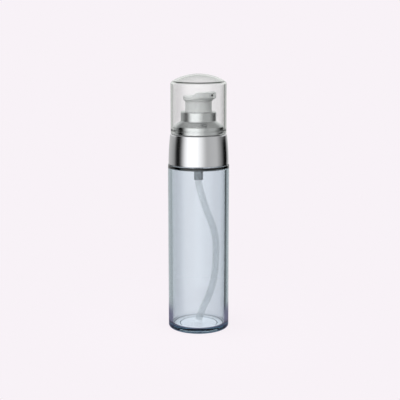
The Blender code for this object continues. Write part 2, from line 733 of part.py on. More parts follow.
def make_housing():
    """Pump body: flange, cup, cylinder, ball seat and the tail that grips the dip tube."""
    cup_outer = CUP_RADIUS + CUP_WALL
    chamber_outer = CHAMBER_RADIUS + CHAMBER_WALL
    pocket_top = CHAMBER_FLOOR - POCKET_TAPER
    seat_slope_drop = POCKET_RADIUS - SEAT_BORE_RADIUS
    seat_axis_drop = (BALL_RADIUS + PRESS_GAP) * math.sqrt(2)
    seat_bottom = BALL_CENTRE - seat_axis_drop + SEAT_BORE_RADIUS
    tube_stop = seat_bottom - SEAT_BORE_LENGTH
    tail_bottom = tube_stop - TUBE_SOCKET_DEPTH
    corners = [
        (CUP_RADIUS, FLANGE_TOP),
        (FLANGE_RADIUS, FLANGE_TOP),
        (FLANGE_RADIUS, FLANGE_BOTTOM),
        (cup_outer, FLANGE_BOTTOM),
        (cup_outer, CUP_BOTTOM - CUP_FLOOR),
        (chamber_outer, CUP_BOTTOM - CUP_FLOOR - CHAMBER_WALL),
        (chamber_outer, CHAMBER_FLOOR),
        (TAIL_RADIUS, CHAMBER_FLOOR - CHAMBER_TAPER),
        (TAIL_RADIUS, tail_bottom),
        (TUBE_RADIUS + PRESS_GAP, tail_bottom),
        (TUBE_RADIUS + PRESS_GAP, tube_stop),
        (SEAT_BORE_RADIUS, tube_stop),
        (SEAT_BORE_RADIUS, seat_bottom),
        (POCKET_RADIUS, seat_bottom + seat_slope_drop),
        (POCKET_RADIUS, pocket_top),
        (CHAMBER_RADIUS, CHAMBER_FLOOR),
        (CHAMBER_RADIUS, CUP_BOTTOM),
        (CUP_RADIUS, CUP_BOTTOM),
    ]
    housing = turned("pump_housing",
                     [(radius, height - FLANGE_BOTTOM) for radius, height in corners],
                     natural_plastic, segments=SMALL_SEGMENTS)
    place(housing, pump_axis, FLANGE_BOTTOM)
    return tube_stop, tail_bottom


def make_gasket():
    """Soft ring between the neck's rim and the housing's flange."""
    gasket = turned("neck_gasket", [
        (NECK_BORE_RADIUS + GASKET_SETBACK, GASKET_THICKNESS),
        (FLANGE_RADIUS, GASKET_THICKNESS),
        (FLANGE_RADIUS, 0.0),
        (NECK_BORE_RADIUS + GASKET_SETBACK, 0.0),
    ], soft_plastic, segments=SMALL_SEGMENTS)
    place(gasket, pump_axis, GASKET_BOTTOM)


def make_retainer():
    """Turret that closes the housing, guides the stem and stops its rise."""
    guide = STEM_RADIUS + RUNNING_GAP
    plug = CUP_RADIUS - RETAINER_PLUG_GAP
    plug_foot = CUP_BOTTOM + SEAT_GAP - ROOF_BOTTOM
    guide_top = RETAINER_ROOF + RETAINER_GUIDE_HEIGHT
    retainer = turned("retainer", [
        (guide, guide_top),
        (guide + RETAINER_GUIDE_WALL, guide_top),
        (guide + RETAINER_GUIDE_WALL, RETAINER_ROOF),
        (RETAINER_FLANGE_RADIUS, RETAINER_ROOF),
        (RETAINER_FLANGE_RADIUS, 0.0),
        (plug, 0.0),
        (plug, plug_foot),
        (plug - RETAINER_PLUG_WALL, plug_foot),
        (plug - RETAINER_PLUG_WALL, 0.0),
        (guide, 0.0),
    ], white_plastic, segments=SMALL_SEGMENTS)
    place(retainer, pump_axis, ROOF_BOTTOM)
    seal = turned("stem_seal", [
        (STEM_RADIUS + RUNNING_GAP, SEAL_THICKNESS),
        (plug - RETAINER_PLUG_WALL - SEAT_GAP, SEAL_THICKNESS),
        (plug - RETAINER_PLUG_WALL - SEAT_GAP, 0.0),
        (STEM_RADIUS + RUNNING_GAP, 0.0),
    ], soft_plastic, segments=SMALL_SEGMENTS)
    place(seal, pump_axis, SEAL_BOTTOM)


def make_stem():
    """Hollow stem with a stop flange and two slots at its foot, and the rod plugged in it."""
    stem = turned("stem", [
        (STEM_BORE_RADIUS, STEM_TOP - STEM_BOTTOM),
        (STEM_RADIUS, STEM_TOP - STEM_BOTTOM),
        (STEM_RADIUS, STEM_FLANGE_TOP - STEM_BOTTOM),
        (CHAMBER_RADIUS - STEM_FLANGE_GAP, STEM_FLANGE_TOP - STEM_BOTTOM),
        (CHAMBER_RADIUS - STEM_FLANGE_GAP, STEM_FLANGE_BOTTOM - STEM_BOTTOM),
        (STEM_RADIUS, STEM_FLANGE_BOTTOM - STEM_BOTTOM),
        (STEM_RADIUS, 0.0),
        (STEM_BORE_RADIUS, 0.0),
    ], white_plastic, segments=TINY_SEGMENTS)
    place(stem, stem_axis, STEM_BOTTOM)
    slot = box_cutter("stem_slot", (2 * (STEM_RADIUS + CUT_OVERRUN), STEM_SLOT_WIDTH,
                                    2 * STEM_SLOT_HEIGHT), (0.0, 0.0, 0.0))
    slot.parent = stem
    combine(stem, slot, "DIFFERENCE")

    rod_bottom = ROD_FLANGE_BOTTOM - ROD_SPIGOT_LENGTH
    rod_radius = STEM_BORE_RADIUS - PRESS_GAP
    rod_top = STEM_BOTTOM + ROD_PLUG_DEPTH - rod_bottom
    flange_top = ROD_FLANGE_TOP - rod_bottom
    rod = turned("piston_rod", [
        (0.0, rod_top),
        (rod_radius, rod_top),
        (rod_radius, flange_top),
        (ROD_FLANGE_RADIUS, flange_top),
        (ROD_FLANGE_RADIUS, ROD_SPIGOT_LENGTH),
        (ROD_SPIGOT_RADIUS, ROD_SPIGOT_LENGTH),
        (ROD_SPIGOT_RADIUS, 0.0),
        (0.0, 0.0),
    ], white_plastic, closed=False, segments=TINY_SEGMENTS)
    place(rod, stem_axis, rod_bottom)
    for index in range(ROD_FLUTES):
        angle = math.tau * index / ROD_FLUTES
        across = Vector((rod_radius * math.cos(angle), rod_radius * math.sin(angle), 0.0))
        up = Vector((0.0, 0.0, 1.0))
        flute = cylinder_cutter(f"rod_flute_{index + 1}", FLUTE_RADIUS,
                                across + up * (flange_top + SEAT_GAP),
                                across + up * (rod_top + CUT_OVERRUN), TINY_SEGMENTS)
        flute.parent = rod
        combine(rod, flute, "DIFFERENCE")


def make_piston():
    """Sliding seal with a lip at each end, a short way above the rod's flange."""
    lip = CHAMBER_RADIUS - PISTON_LIP_GAP
    waist = lip - PISTON_WAIST_DEPTH
    bore = STEM_BORE_RADIUS - PRESS_GAP + RUNNING_GAP
    piston = turned("piston", [
        (bore, PISTON_HEIGHT),
        (lip, PISTON_HEIGHT),
        (waist, PISTON_HEIGHT - PISTON_LIP_HEIGHT),
        (waist, PISTON_LIP_HEIGHT),
        (lip, 0.0),
        (bore, 0.0),
    ], soft_plastic, segments=SMALL_SEGMENTS)
    place(piston, piston_axis, PISTON_TOP - PISTON_HEIGHT)


def make_spring():
    """Return spring: one unbroken coil whose ends run level for a wire's width."""
    level_run = 2 * SPRING_WIRE_RADIUS
    climb = SPRING_LENGTH - level_run
    points = helix(SPRING_RADIUS, climb / SPRING_TURNS, SPRING_TURNS, SPRING_WIRE_RADIUS,
                   SPRING_STEPS)
    first = points[0] - Vector((0.0, level_run, 0.0))
    last = points[-1] + Vector((0.0, level_run, 0.0))
    points = [first] + points + [last]
    least = min((points[low] - points[high]).length
                for low in range(len(points))
                for high in range(low + SPRING_STEPS // 2, len(points)))
    print("return_spring: least gap to itself", round((least - level_run) / MM, 3), "mm")
    spring = tube_along("return_spring", points, SPRING_WIRE_RADIUS, 1)
    spring.data.materials.append(spring_steel)
    parts.objects.link(spring)
    place(spring, pump_axis, SPRING_BOTTOM)


def make_valve():
    """Inlet ball and the perforated disc that keeps it in its pocket."""
    cage_radius = CHAMBER_RADIUS - CAGE_GAP
    cage = turned("ball_cage", [
        (CAGE_HOLE_RADIUS, CAGE_THICKNESS),
        (cage_radius, CAGE_THICKNESS),
        (cage_radius, 0.0),
        (CAGE_HOLE_RADIUS, 0.0),
    ], natural_plastic, segments=SMALL_SEGMENTS)
    place(cage, pump_axis, CAGE_BOTTOM)
    for index in range(2):
        slot = box_cutter(f"cage_slot_{index + 1}",
                          (2 * CAGE_SLOT_REACH, CAGE_SLOT_WIDTH, 2 * CAGE_THICKNESS + CUT_OVERRUN),
                          (0.0, 0.0, CAGE_THICKNESS / 2))
        slot.rotation_euler.z = math.pi / 2 * index
        slot.parent = cage
        combine(cage, slot, "DIFFERENCE")

    mesh = bpy.data.meshes.new("check_ball")
    shape = bmesh.new()
    bmesh.ops.create_uvsphere(shape, u_segments=TINY_SEGMENTS, v_segments=TINY_SEGMENTS // 2,
                              radius=BALL_RADIUS)
    shape.to_mesh(mesh)
    shape.free()
    mesh.shade_smooth()
    mesh.materials.append(ball_steel)
    ball = bpy.data.objects.new("check_ball", mesh)
    parts.objects.link(ball)
    place(ball, ball_axis, BALL_CENTRE)


def smooth_route(places, steps):
    """Catmull-Rom curve through the places, with the given steps in each span."""
    ends = [2 * places[0] - places[1]] + places + [2 * places[-1] - places[-2]]
    points = []
    for index in range(1, len(ends) - 2):
        before, start, end, after = ends[index - 1:index + 3]
        for step in range(steps):
            t = step / steps
            points.append(0.5 * (2 * start + (end - before) * t
                                 + (2 * before - 5 * start + 4 * end - after) * t ** 2
                                 + (3 * start - before - 3 * end + after) * t ** 3))
    return points + [places[-1]]


def make_dip_tube(tube_stop, tail_bottom):
    """Curved tube from the housing's tail to the floor, open at both ends."""
    top = tube_stop - SEAT_GAP
    bottom = BASE_THICKNESS + TUBE_FLOOR_GAP
    run = tail_bottom - bottom
    places = [Vector((0.0, 0.0, top - tail_bottom)), Vector((0.0, 0.0, (top - tail_bottom) / 2))]
    for drop_share, bow_share in TUBE_ROUTE_SHARES:
        places.append(Vector((TUBE_BOW * bow_share, TUBE_SET_BACK * bow_share,
                              run * (drop_share - 1.0))))
    route = smooth_route(places, TUBE_STEPS_PER_SPAN)
    tube = meshed(tube_along("dip_tube", route, TUBE_RADIUS, 4), parts)
    tube.data.materials.append(milky_plastic)
    ends = [route[0] + Vector((0.0, 0.0, CUT_OVERRUN))] + route
    ends.append(route[-1] + (route[-1] - route[-2]).normalized() * CUT_OVERRUN)
    bore = as_cutter(meshed(tube_along("tube_bore", ends, TUBE_RADIUS - TUBE_WALL, 2), cutters))
    bore.parent = tube
    combine(tube, bore, "DIFFERENCE")
    place(tube, pump_axis, tail_bottom)


clear_scene()
parts = new_collection("pump_bottle")
cutters = new_collection("pump_bottle_cutters")

tinted_plastic = new_material("tinted_petg", (0.62, 0.71, 0.80), 0.05, transmission=1.0)
clear_plastic = new_material("clear_styrene", (0.93, 0.94, 0.95), 0.04, transmission=1.0)
polished_aluminium = new_material("polished_aluminium", (0.80, 0.81, 0.82), 0.18, metallic=1.0)
white_plastic = new_material("white_polypropylene", (0.80, 0.80, 0.80), 0.45)
button_plastic = new_material("button_polypropylene", (0.72, 0.72, 0.74), 0.35)
natural_plastic = new_material("natural_polypropylene", (0.62, 0.65, 0.68), 0.40)
soft_plastic = new_material("soft_polyethylene", (0.85, 0.85, 0.84), 0.55)
milky_plastic = new_material("milky_polyethylene", (0.66, 0.71, 0.77), 0.40)
spring_steel = new_material("spring_steel", (0.55, 0.55, 0.56), 0.30, metallic=1.0)
ball_steel = new_material("ball_steel", (0.60, 0.60, 0.61), 0.12, metallic=1.0)

pump_axis = new_axis("pump_axis", NECK_TOP)
closure_axis = new_axis("closure_axis", NECK_TOP, pump_axis)
cap_axis = new_axis("cap_axis", BAND_BOTTOM, closure_axis)
stem_axis = new_axis("stem_axis", STEM_BOTTOM, pump_axis)
button_axis = new_axis("button_axis", HEAD_BOTTOM, stem_axis)
piston_axis = new_axis("piston_axis", PISTON_TOP, stem_axis)
ball_axis = new_axis("ball_axis", BALL_CENTRE, pump_axis)

make_bottle()
make_sleeve()
make_liner()
make_core()
make_shell()
make_overcap()
make_button()
socket_stop, socket_mouth = make_housing()
make_gasket()
make_retainer()
make_stem()
make_piston()
make_spring()
make_valve()
make_dip_tube(socket_stop, socket_mouth)
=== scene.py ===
"""Looks of a pump bottle: tinted bottle, polished collar, push button under a clear overcap.

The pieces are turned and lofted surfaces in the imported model's frame: metres, +Z up along the bottle's
axis, the viewer on the -Y side. Sizes are written in millimetres times MM.
"""
import math

import bmesh
import bpy
import numpy as np
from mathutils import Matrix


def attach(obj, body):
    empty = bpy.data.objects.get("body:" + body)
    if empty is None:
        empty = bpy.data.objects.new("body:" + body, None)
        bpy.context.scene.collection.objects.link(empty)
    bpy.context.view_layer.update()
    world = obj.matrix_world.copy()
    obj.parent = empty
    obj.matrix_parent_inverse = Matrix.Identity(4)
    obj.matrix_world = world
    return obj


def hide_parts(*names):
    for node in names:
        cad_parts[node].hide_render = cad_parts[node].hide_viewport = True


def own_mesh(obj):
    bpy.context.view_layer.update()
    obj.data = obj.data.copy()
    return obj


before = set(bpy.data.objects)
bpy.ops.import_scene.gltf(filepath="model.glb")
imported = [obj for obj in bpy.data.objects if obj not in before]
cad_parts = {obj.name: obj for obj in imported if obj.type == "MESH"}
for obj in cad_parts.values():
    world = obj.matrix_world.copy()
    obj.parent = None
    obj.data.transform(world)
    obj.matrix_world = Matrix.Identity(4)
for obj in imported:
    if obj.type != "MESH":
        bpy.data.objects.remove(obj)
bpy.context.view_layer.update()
MM = 0.001

# Camera. The photograph is a studio view from just over the cap's height, about 10 degrees down,
# through a long lens whose frame holds some 250 mm at the bottle.
scene = bpy.context.scene
scene.view_settings.view_transform = "Standard"
camera = bpy.data.objects.new("camera", bpy.data.cameras.new("camera"))
camera.data.lens = 85.0
camera.data.sensor_width = 36.0
camera.location = (0.9 * MM, -580.9 * MM, 186.9 * MM)
camera.rotation_euler = (math.radians(90 - 10.3), 0.0, 0.0)
scene.collection.objects.link(camera)
scene.camera = camera


# Studio. A pale sweep fills the view. What glass and metal mirror is a tent round the bottle: a white
# screen in front on the left, a grey one on the right, and two narrow black flags that draw the edges.
# Matt surfaces are lit by a soft tent, brighter from the front, the left and above, and dim below.
def linear(hex_colour):
    """Linear colour of an sRGB hex value: c / 12.92 in the toe, else ((c + 0.055) / 1.055) ** 2.4."""
    channels = [int(hex_colour[place:place + 2], 16) / 255 for place in (1, 3, 5)]
    return (*[c / 12.92 if c <= 0.04045 else ((c + 0.055) / 1.055) ** 2.4 for c in channels], 1.0)


def add(tree, kind, sockets=None, **settings):
    """Add one node with its settings; a socket takes a value, an output, or a node's first output."""
    node = tree.nodes.new(kind)
    for name, value in settings.items():
        setattr(node, name, value)
    for name, value in (sockets or {}).items():
        if isinstance(value, bpy.types.Node):
            value = value.outputs[0]
        if isinstance(value, bpy.types.NodeSocket):
            tree.links.new(value, node.inputs[name])
        else:
            node.inputs[name].default_value = value
    return node


def ray_kinds(tree):
    """What a ray is, each 0 or 1: no matt surface threw it on; a mirror did; and the camera sees along
    it, be it straight or through clear plastic. The light path's own outputs come first."""
    path = add(tree, "ShaderNodeLightPath").outputs
    no_matt_bounce = add(tree, "ShaderNodeMath", {0: path["Diffuse Depth"], 1: 0.5},
                         operation="LESS_THAN")
    mirror_bounce = add(tree, "ShaderNodeMath", {0: path["Glossy Depth"], 1: 0.5},
                        operation="GREATER_THAN")
    seen = add(tree, "ShaderNodeMath", {0: path["Is Camera Ray"], 1: path["Is Transmission Ray"]},
               operation="MAXIMUM")
    seen_clear = add(tree, "ShaderNodeMath", {0: seen, 1: no_matt_bounce}, operation="MULTIPLY")
    return path, no_matt_bounce, mirror_bounce, seen_clear


SWEEP_COLOUR = "#F8F2F7"
KEY_DIRECTION = (-0.27, -0.62, 0.74)
TENT_LIGHT = 0.40
TENT_SLOPE = 1.92
LOW_LIGHT_SHARE = 0.08
ZENITH_LIGHT = (0.37, 0.37, 0.37, 1.0)
BACKDROP_LIGHT = (0.88, 0.88, 0.88, 1.0)
# Where one light gives way to the next: along the depth or the height of the unit vector that points
# from the tent to the bottle, and for the key, along the cosine of the angle off its direction.
KEY_FADE = (-0.2, 1.0)
LOW_LIGHT_FADE = (-0.10, 0.35)
ZENITH_FADE = (-0.30, -0.62)
BACKDROP_DEPTH_FADE = (-0.10, -0.50)
BACKDROP_HEIGHT_FADE = (0.02, -0.12)
# Angle from the viewer's side, to the left, and the brightness that a mirror sees there.
TENT_SCREENS = (
    (-180, 0.93), (-166, 0.66), (-150, 0.50), (-141, 0.33), (-132, 0.00), (-116, 0.00), (-109, 0.06),
    (-95, 0.29), (-84, 0.42), (-74, 0.55), (-60, 0.55), (-34, 0.50), (-26, 0.60), (-14, 0.90),
    (-4, 1.12), (6, 1.34), (40, 1.34), (53, 1.02), (63, 0.52), (72, 0.14), (79, 0.00), (90, 0.00),
    (97, 0.06), (108, 0.32), (126, 0.46), (148, 0.54), (166, 0.64), (180, 0.93),
)

world = bpy.data.worlds.new("studio")
world.use_nodes = True
scene.world = world
tree = world.node_tree
tree.nodes.clear()
path, no_matt_bounce, mirror_bounce, seen_clear = ray_kinds(tree)
direction = add(tree, "ShaderNodeTexCoord").outputs["Generated"]
turned_back = add(tree, "ShaderNodeVectorMath", {0: direction, "Scale": -1.0}, operation="SCALE")
sides = add(tree, "ShaderNodeSeparateXYZ", {0: turned_back})
azimuth = add(tree, "ShaderNodeMath", {0: sides.outputs["X"], 1: sides.outputs["Y"]}, operation="ARCTAN2")
along = add(tree, "ShaderNodeMapRange", {"Value": azimuth, "From Min": -math.pi, "From Max": math.pi})
screens = add(tree, "ShaderNodeValToRGB", {"Fac": along})
stops = screens.color_ramp.elements
for angle, light in TENT_SCREENS[1:-1]:
    stops.new(angle / 360 + 0.5)
for stop, (angle, light) in zip(stops, TENT_SCREENS):
    stop.position = angle / 360 + 0.5
    stop.color = (light, light, light, 1.0)
overhead = add(tree, "ShaderNodeMapRange", {"Value": sides.outputs["Z"], "From Min": ZENITH_FADE[0],
                                            "From Max": ZENITH_FADE[1]},
               interpolation_type="SMOOTHSTEP")
behind = add(tree, "ShaderNodeMapRange", {"Value": sides.outputs["Y"],
                                          "From Min": BACKDROP_DEPTH_FADE[0],
                                          "From Max": BACKDROP_DEPTH_FADE[1]},
             interpolation_type="SMOOTHSTEP")
above = add(tree, "ShaderNodeMapRange", {"Value": sides.outputs["Z"],
                                         "From Min": BACKDROP_HEIGHT_FADE[0],
                                         "From Max": BACKDROP_HEIGHT_FADE[1]},
            interpolation_type="SMOOTHSTEP")
on_backdrop = add(tree, "ShaderNodeMath", {0: behind, 1: above}, operation="MULTIPLY")
upright = add(tree, "ShaderNodeMix", {0: on_backdrop, 6: screens, 7: BACKDROP_LIGHT}, data_type="RGBA")
mirrored = add(tree, "ShaderNodeMix", {0: overhead, 6: upright.outputs[2], 7: ZENITH_LIGHT},
               data_type="RGBA")
towards_key = add(tree, "ShaderNodeVectorMath", {0: direction, 1: KEY_DIRECTION},
                  operation="DOT_PRODUCT")
key_patch = add(tree, "ShaderNodeMapRange", {"Value": towards_key.outputs["Value"],
                                             "From Min": KEY_FADE[0], "From Max": KEY_FADE[1]},
                interpolation_type="SMOOTHSTEP")
whole_tent = add(tree, "ShaderNodeMath", {0: key_patch, 1: TENT_SLOPE, 2: TENT_LIGHT},
                 operation="MULTIPLY_ADD")
dimmed_below = add(tree, "ShaderNodeMapRange", {"Value": sides.outputs["Z"],
                                                "From Min": LOW_LIGHT_FADE[0],
                                                "From Max": LOW_LIGHT_FADE[1], "To Min": 1.0,
                                                "To Max": LOW_LIGHT_SHARE},
                   interpolation_type="SMOOTHSTEP")
tent = add(tree, "ShaderNodeMath", {0: whole_tent, 1: dimmed_below}, operation="MULTIPLY")
by_mirror = add(tree, "ShaderNodeMath", {0: mirror_bounce, 1: no_matt_bounce}, operation="MULTIPLY")
to_mirror = add(tree, "ShaderNodeMath", {0: by_mirror, 1: path["Is Glossy Ray"]}, operation="MULTIPLY")
to_sweep = add(tree, "ShaderNodeMath", {0: seen_clear, 1: mirror_bounce}, operation="SUBTRACT",
               use_clamp=True)
lit = add(tree, "ShaderNodeMix", {0: to_mirror, 6: tent, 7: mirrored.outputs[2]}, data_type="RGBA")
shown = add(tree, "ShaderNodeMix", {0: to_sweep, 6: lit.outputs[2], 7: linear(SWEEP_COLOUR)},
            data_type="RGBA")
background = add(tree, "ShaderNodeBackground", {"Color": shown.outputs[2], "Strength": 1.0})
add(tree, "ShaderNodeOutputWorld", {"Surface": background})

SWEEP_RADIUS = 280.0 * MM
SWEEP_DROP = 0.1 * MM
SHADOW_SHARE = 0.10
SHADOW_REACH = 120.0 * MM
# Reach of the painted contact shadow that mirrors see on the paper.
PAINTED_SHADOW_REACH = 36.0 * MM
SWEEP_ALBEDO = "#DAD5D9"
# Colour of that painted contact shadow.
PAINTED_CONTACT_SHADOW_COLOUR = "#868094"
PAPER_BOUNCE = 0.05
# Reach and strength of a painted pool of light under the bottle, in place of the caustic of its thick
# base.
PAINTED_CAUSTIC_REACH = (11.0 * MM, 17.0 * MM)
PAINTED_CAUSTIC_GLOW = 1.45

sweep_mesh = bpy.data.meshes.new("sweep")
shape = bmesh.new()
bmesh.ops.create_circle(shape, cap_ends=True, segments=96, radius=SWEEP_RADIUS)
bmesh.ops.translate(shape, verts=shape.verts, vec=(0.0, 0.0, -SWEEP_DROP))
shape.to_mesh(sweep_mesh)
shape.free()
sweep = bpy.data.objects.new("sweep", sweep_mesh)
scene.collection.objects.link(sweep)

# Pale paper. It glows in its own colour, so that it meets the world behind it without an edge, and a
# share of it near the bottle is lit, which keeps the bottle's faint shadow. Under the bottle its glow is
# raised, a painted pool of light in place of the light that the thick base gathers there. Mirrors see a
# painted contact shadow, a dark glow at the bottle, and look through the rest. It is clear from below, so
# that the bottle's foot can be seen.
paper = bpy.data.materials.new("matt_paper_sweep")
paper.use_nodes = True
tree = paper.node_tree
tree.nodes.clear()
mirror_bounce, seen_clear = ray_kinds(tree)[2:]
place = add(tree, "ShaderNodeTexCoord").outputs["Object"]
reach = add(tree, "ShaderNodeVectorMath", {0: place}, operation="LENGTH")
share = add(tree, "ShaderNodeMapRange", {"Value": reach.outputs["Value"], "From Min": 0.0,
                                         "From Max": SHADOW_REACH, "To Min": SHADOW_SHARE,
                                         "To Max": 0.0}, interpolation_type="SMOOTHSTEP")
# Painted pool of light: the glow rises under the bottle.
painted_caustic = add(tree, "ShaderNodeMapRange", {"Value": reach.outputs["Value"],
                                            "From Min": PAINTED_CAUSTIC_REACH[0],
                                            "From Max": PAINTED_CAUSTIC_REACH[1],
                                            "To Min": PAINTED_CAUSTIC_GLOW, "To Max": 1.0},
               interpolation_type="SMOOTHSTEP")
for_matt = add(tree, "ShaderNodeMapRange", {"Value": seen_clear, "To Min": PAPER_BOUNCE})
strength = add(tree, "ShaderNodeMath", {0: painted_caustic, 1: for_matt}, operation="MULTIPLY")
glow = add(tree, "ShaderNodeEmission", {"Color": linear(SWEEP_COLOUR), "Strength": strength})
lit_paper = add(tree, "ShaderNodeBsdfDiffuse", {"Color": linear(SWEEP_ALBEDO)})
mixed = add(tree, "ShaderNodeMixShader", {0: share, 1: glow, 2: lit_paper})
see_through = add(tree, "ShaderNodeBsdfTransparent")
# Painted contact shadow: a dark glow near the bottle, for mirror rays.
painted_contact_shadow = add(tree, "ShaderNodeEmission", {"Color": linear(PAINTED_CONTACT_SHADOW_COLOUR), "Strength": 1.0})
fade_out = add(tree, "ShaderNodeMapRange", {"Value": reach.outputs["Value"],
                                            "From Min": PAINTED_SHADOW_REACH, "From Max": 2 * PAINTED_SHADOW_REACH},
               interpolation_type="SMOOTHSTEP")
mirrored_paper = add(tree, "ShaderNodeMixShader", {0: fade_out, 1: painted_contact_shadow, 2: see_through})
sweep_look = add(tree, "ShaderNodeMixShader", {0: mirror_bounce, 1: mixed, 2: mirrored_paper})
from_below = add(tree, "ShaderNodeNewGeometry").outputs["Backfacing"]
from_both_sides = add(tree, "ShaderNodeMixShader", {0: from_below, 1: sweep_look, 2: see_through})
add(tree, "ShaderNodeOutputMaterial", {"Surface": from_both_sides})
sweep_mesh.materials.append(paper)


# Bottle. One blown and partly injected piece of clear, smoke-blue polyester: a straight body with a
# wall of 2.5 mm, a thick base with a low push-up, a ledge under the sleeve, and a screw neck.
SUPPORT = 0.25 * MM
ARC_STEP = math.radians(10.0)


def outline(corners, closed):
    """Points (radius, height) along corners given as (radius, height) or (radius, height, rounding).

    A rounding is the circle arc that touches both sides of its corner. A straight run gets a point
    just beside each of its ends, which keeps smooth shading level between them.
    """
    places = np.array([corner[:2] for corner in corners], float)
    points = []
    for index, corner in enumerate(corners):
        here = places[index]
        if len(corner) == 2:
            points.append(here[None, :])
            continue
        back = places[index - 1] - here
        onward = places[(index + 1) % len(corners)] - here
        back /= np.hypot(*back)
        onward /= np.hypot(*onward)
        half = math.acos(np.clip(back @ onward, -1.0, 1.0)) / 2
        bisector = (back + onward) / np.hypot(*(back + onward))
        centre = here + bisector * corner[2] / math.sin(half)
        spoke = here + back * corner[2] / math.tan(half) - centre
        turn = math.pi - 2 * half
        if back[0] * onward[1] - back[1] * onward[0] > 0:
            turn = -turn
        angles = np.linspace(0.0, turn, max(2, math.ceil(abs(turn) / ARC_STEP)) + 1)
        across = np.stack([np.cos(angles), -np.sin(angles)], axis=-1)
        up = np.stack([np.sin(angles), np.cos(angles)], axis=-1)
        points.append(centre + np.stack([across @ spoke, up @ spoke], axis=-1))
    points = np.concatenate(points)
    return with_supports(points, closed)


def with_supports(points, closed):
    """The same outline, with points a short way in from both ends of each long straight run."""
    ends = np.roll(points, -1, axis=0)
    run = ends - points
    length = np.hypot(run[:, 0], run[:, 1])[:, None]
    step = run * np.minimum(SUPPORT / np.maximum(length, SUPPORT), 1.0)
    rows = np.stack([points, points + step, ends - step], axis=1)
    long_run = length[:, 0] > 4 * SUPPORT
    if not closed:
        long_run[-1] = False
    keep = np.stack([np.ones_like(long_run), long_run, long_run], axis=1)
    return rows[keep]


def revolve(profile, segments):
    """Turned surface: (r, z) goes to (r cos a, r sin a, z) at every angle a of the full circle."""
    angle = np.linspace(0.0, math.tau, segments, endpoint=False)
    radius = profile[:, :1]
    height = np.repeat(profile[:, 1:], segments, axis=1)
    return np.stack([radius * np.cos(angle), radius * np.sin(angle), height], axis=-1)


def make_piece(name, grid, material, hollow):
    """Mesh over a grid of points: each row is a ring, and a hollow piece's last row joins its first.

    Rows whose points lie in one place are poles, and their points are merged.
    """
    rows, columns = grid.shape[:2]
    index = np.arange(rows * columns).reshape(rows, columns)
    if hollow:
        index = np.vstack([index, index[:1]])
    here = index[:-1]
    below = index[1:]
    faces = np.stack([here, below, np.roll(below, -1, 1), np.roll(here, -1, 1)], axis=-1)
    mesh = bpy.data.meshes.new(name)
    mesh.from_pydata(grid.reshape(-1, 3), [], faces.reshape(-1, 4))
    shape = bmesh.new()
    shape.from_mesh(mesh)
    bmesh.ops.remove_doubles(shape, verts=shape.verts, dist=0.0001 * MM)
    shape.to_mesh(mesh)
    shape.free()
    mesh.shade_smooth()
    mesh.materials.append(material)
    piece = bpy.data.objects.new(name, mesh)
    scene.collection.objects.link(piece)
    return piece


def seat(piece, body, node):
    """The piece moves with its body and stands for its CAD node, which is hidden."""
    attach(piece, body)
    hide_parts(node)


def new_material(name, sockets):
    """Principled material with these values on its own sockets."""
    material = bpy.data.materials.new(name)
    material.use_nodes = True
    shader = material.node_tree.nodes["Principled BSDF"]
    for socket, value in sockets.items():
        shader.inputs[socket].default_value = value
    return material


def noise_of(tree, size, detail, stretch):
    """Noise in the object's own space, of this size from crest to crest, and longer by as much as the
    stretch is less than one."""
    place = add(tree, "ShaderNodeTexCoord").outputs["Object"]
    grid = add(tree, "ShaderNodeMapping", {"Vector": place, "Scale": [share / size for share in stretch]})
    return add(tree, "ShaderNodeTexNoise", {"Vector": grid, "Scale": 1.0, "Detail": detail})


def give_grain(material, colours, size, depth, roughness, stretch=(1.0, 1.0, 1.0)):
    """Fine unevenness of a moulded, drawn or ground surface: one noise, of this grain size, moves the
    colour and the roughness between two values each, and tilts the surface by this depth."""
    tree = material.node_tree
    shader = tree.nodes["Principled BSDF"]
    grain = noise_of(tree, size, 2.0, stretch)
    even = add(tree, "ShaderNodeMapRange", {"Value": grain, "From Min": 0.3, "From Max": 0.7})
    shade = add(tree, "ShaderNodeMix", {0: even, 6: linear(colours[0]),
                                        7: linear(colours[1])}, data_type="RGBA")
    finish = add(tree, "ShaderNodeMapRange", {"Value": even, "To Min": roughness[0],
                                              "To Max": roughness[1]})
    relief = add(tree, "ShaderNodeBump", {"Height": even, "Distance": depth})
    tree.links.new(shade.outputs[2], shader.inputs["Base Color"])
    tree.links.new(finish.outputs[0], shader.inputs["Roughness"])
    tree.links.new(relief.outputs[0], shader.inputs["Normal"])


def give_ripple(material, size, depth, stretch=(1.0, 1.0, 1.0)):
    """Gentle waviness of a clear, polished moulding: one broad noise tilts the surface, and its
    roughness stays none."""
    tree = material.node_tree
    wave = noise_of(tree, size, 1.0, stretch)
    relief = add(tree, "ShaderNodeBump", {"Height": wave, "Distance": depth})
    tree.links.new(relief.outputs[0], tree.nodes["Principled BSDF"].inputs["Normal"])


def push_out(grid, rise):
    """Every point moves off the axis by its rise r, at its angle a: by r cos a in x, r sin a in y."""
    angle = np.linspace(0.0, math.tau, grid.shape[1], endpoint=False)
    grid[:, :, 0] += rise * np.cos(angle)
    grid[:, :, 1] += rise * np.sin(angle)


# Steps round a turned piece: outer ones, the closure's plastics, the pump's wider and narrower ones.
SHOWN_STEPS = 192
CLOSURE_STEPS = 128
WIDE_STEPS = 96
NARROW_STEPS = 64

BODY_RADIUS = 19.0 * MM
BODY_TOP = 104.2 * MM
BODY_BORE = 16.5 * MM
BODY_FLOOR = 2.8 * MM
FLOOR_CROWN = 0.15 * MM
PUSH_UP = 0.5 * MM
PUSH_UP_RADIUS = 12.0 * MM
NECK_RADIUS = 10.9 * MM
NECK_BORE = 8.3 * MM
NECK_TOP = 121.6 * MM
THREAD_PITCH = 3.175 * MM
NECK_THREAD_START = 112.2 * MM
NECK_RIDGE = 1.0 * MM
# Rows of points across a thread: where they start and end and their step, in millimetres.
NECK_ROWS = (119.4, 110.0)
THREAD_ROW_STEP = 0.15
ON_RADIUS = 0.01 * MM


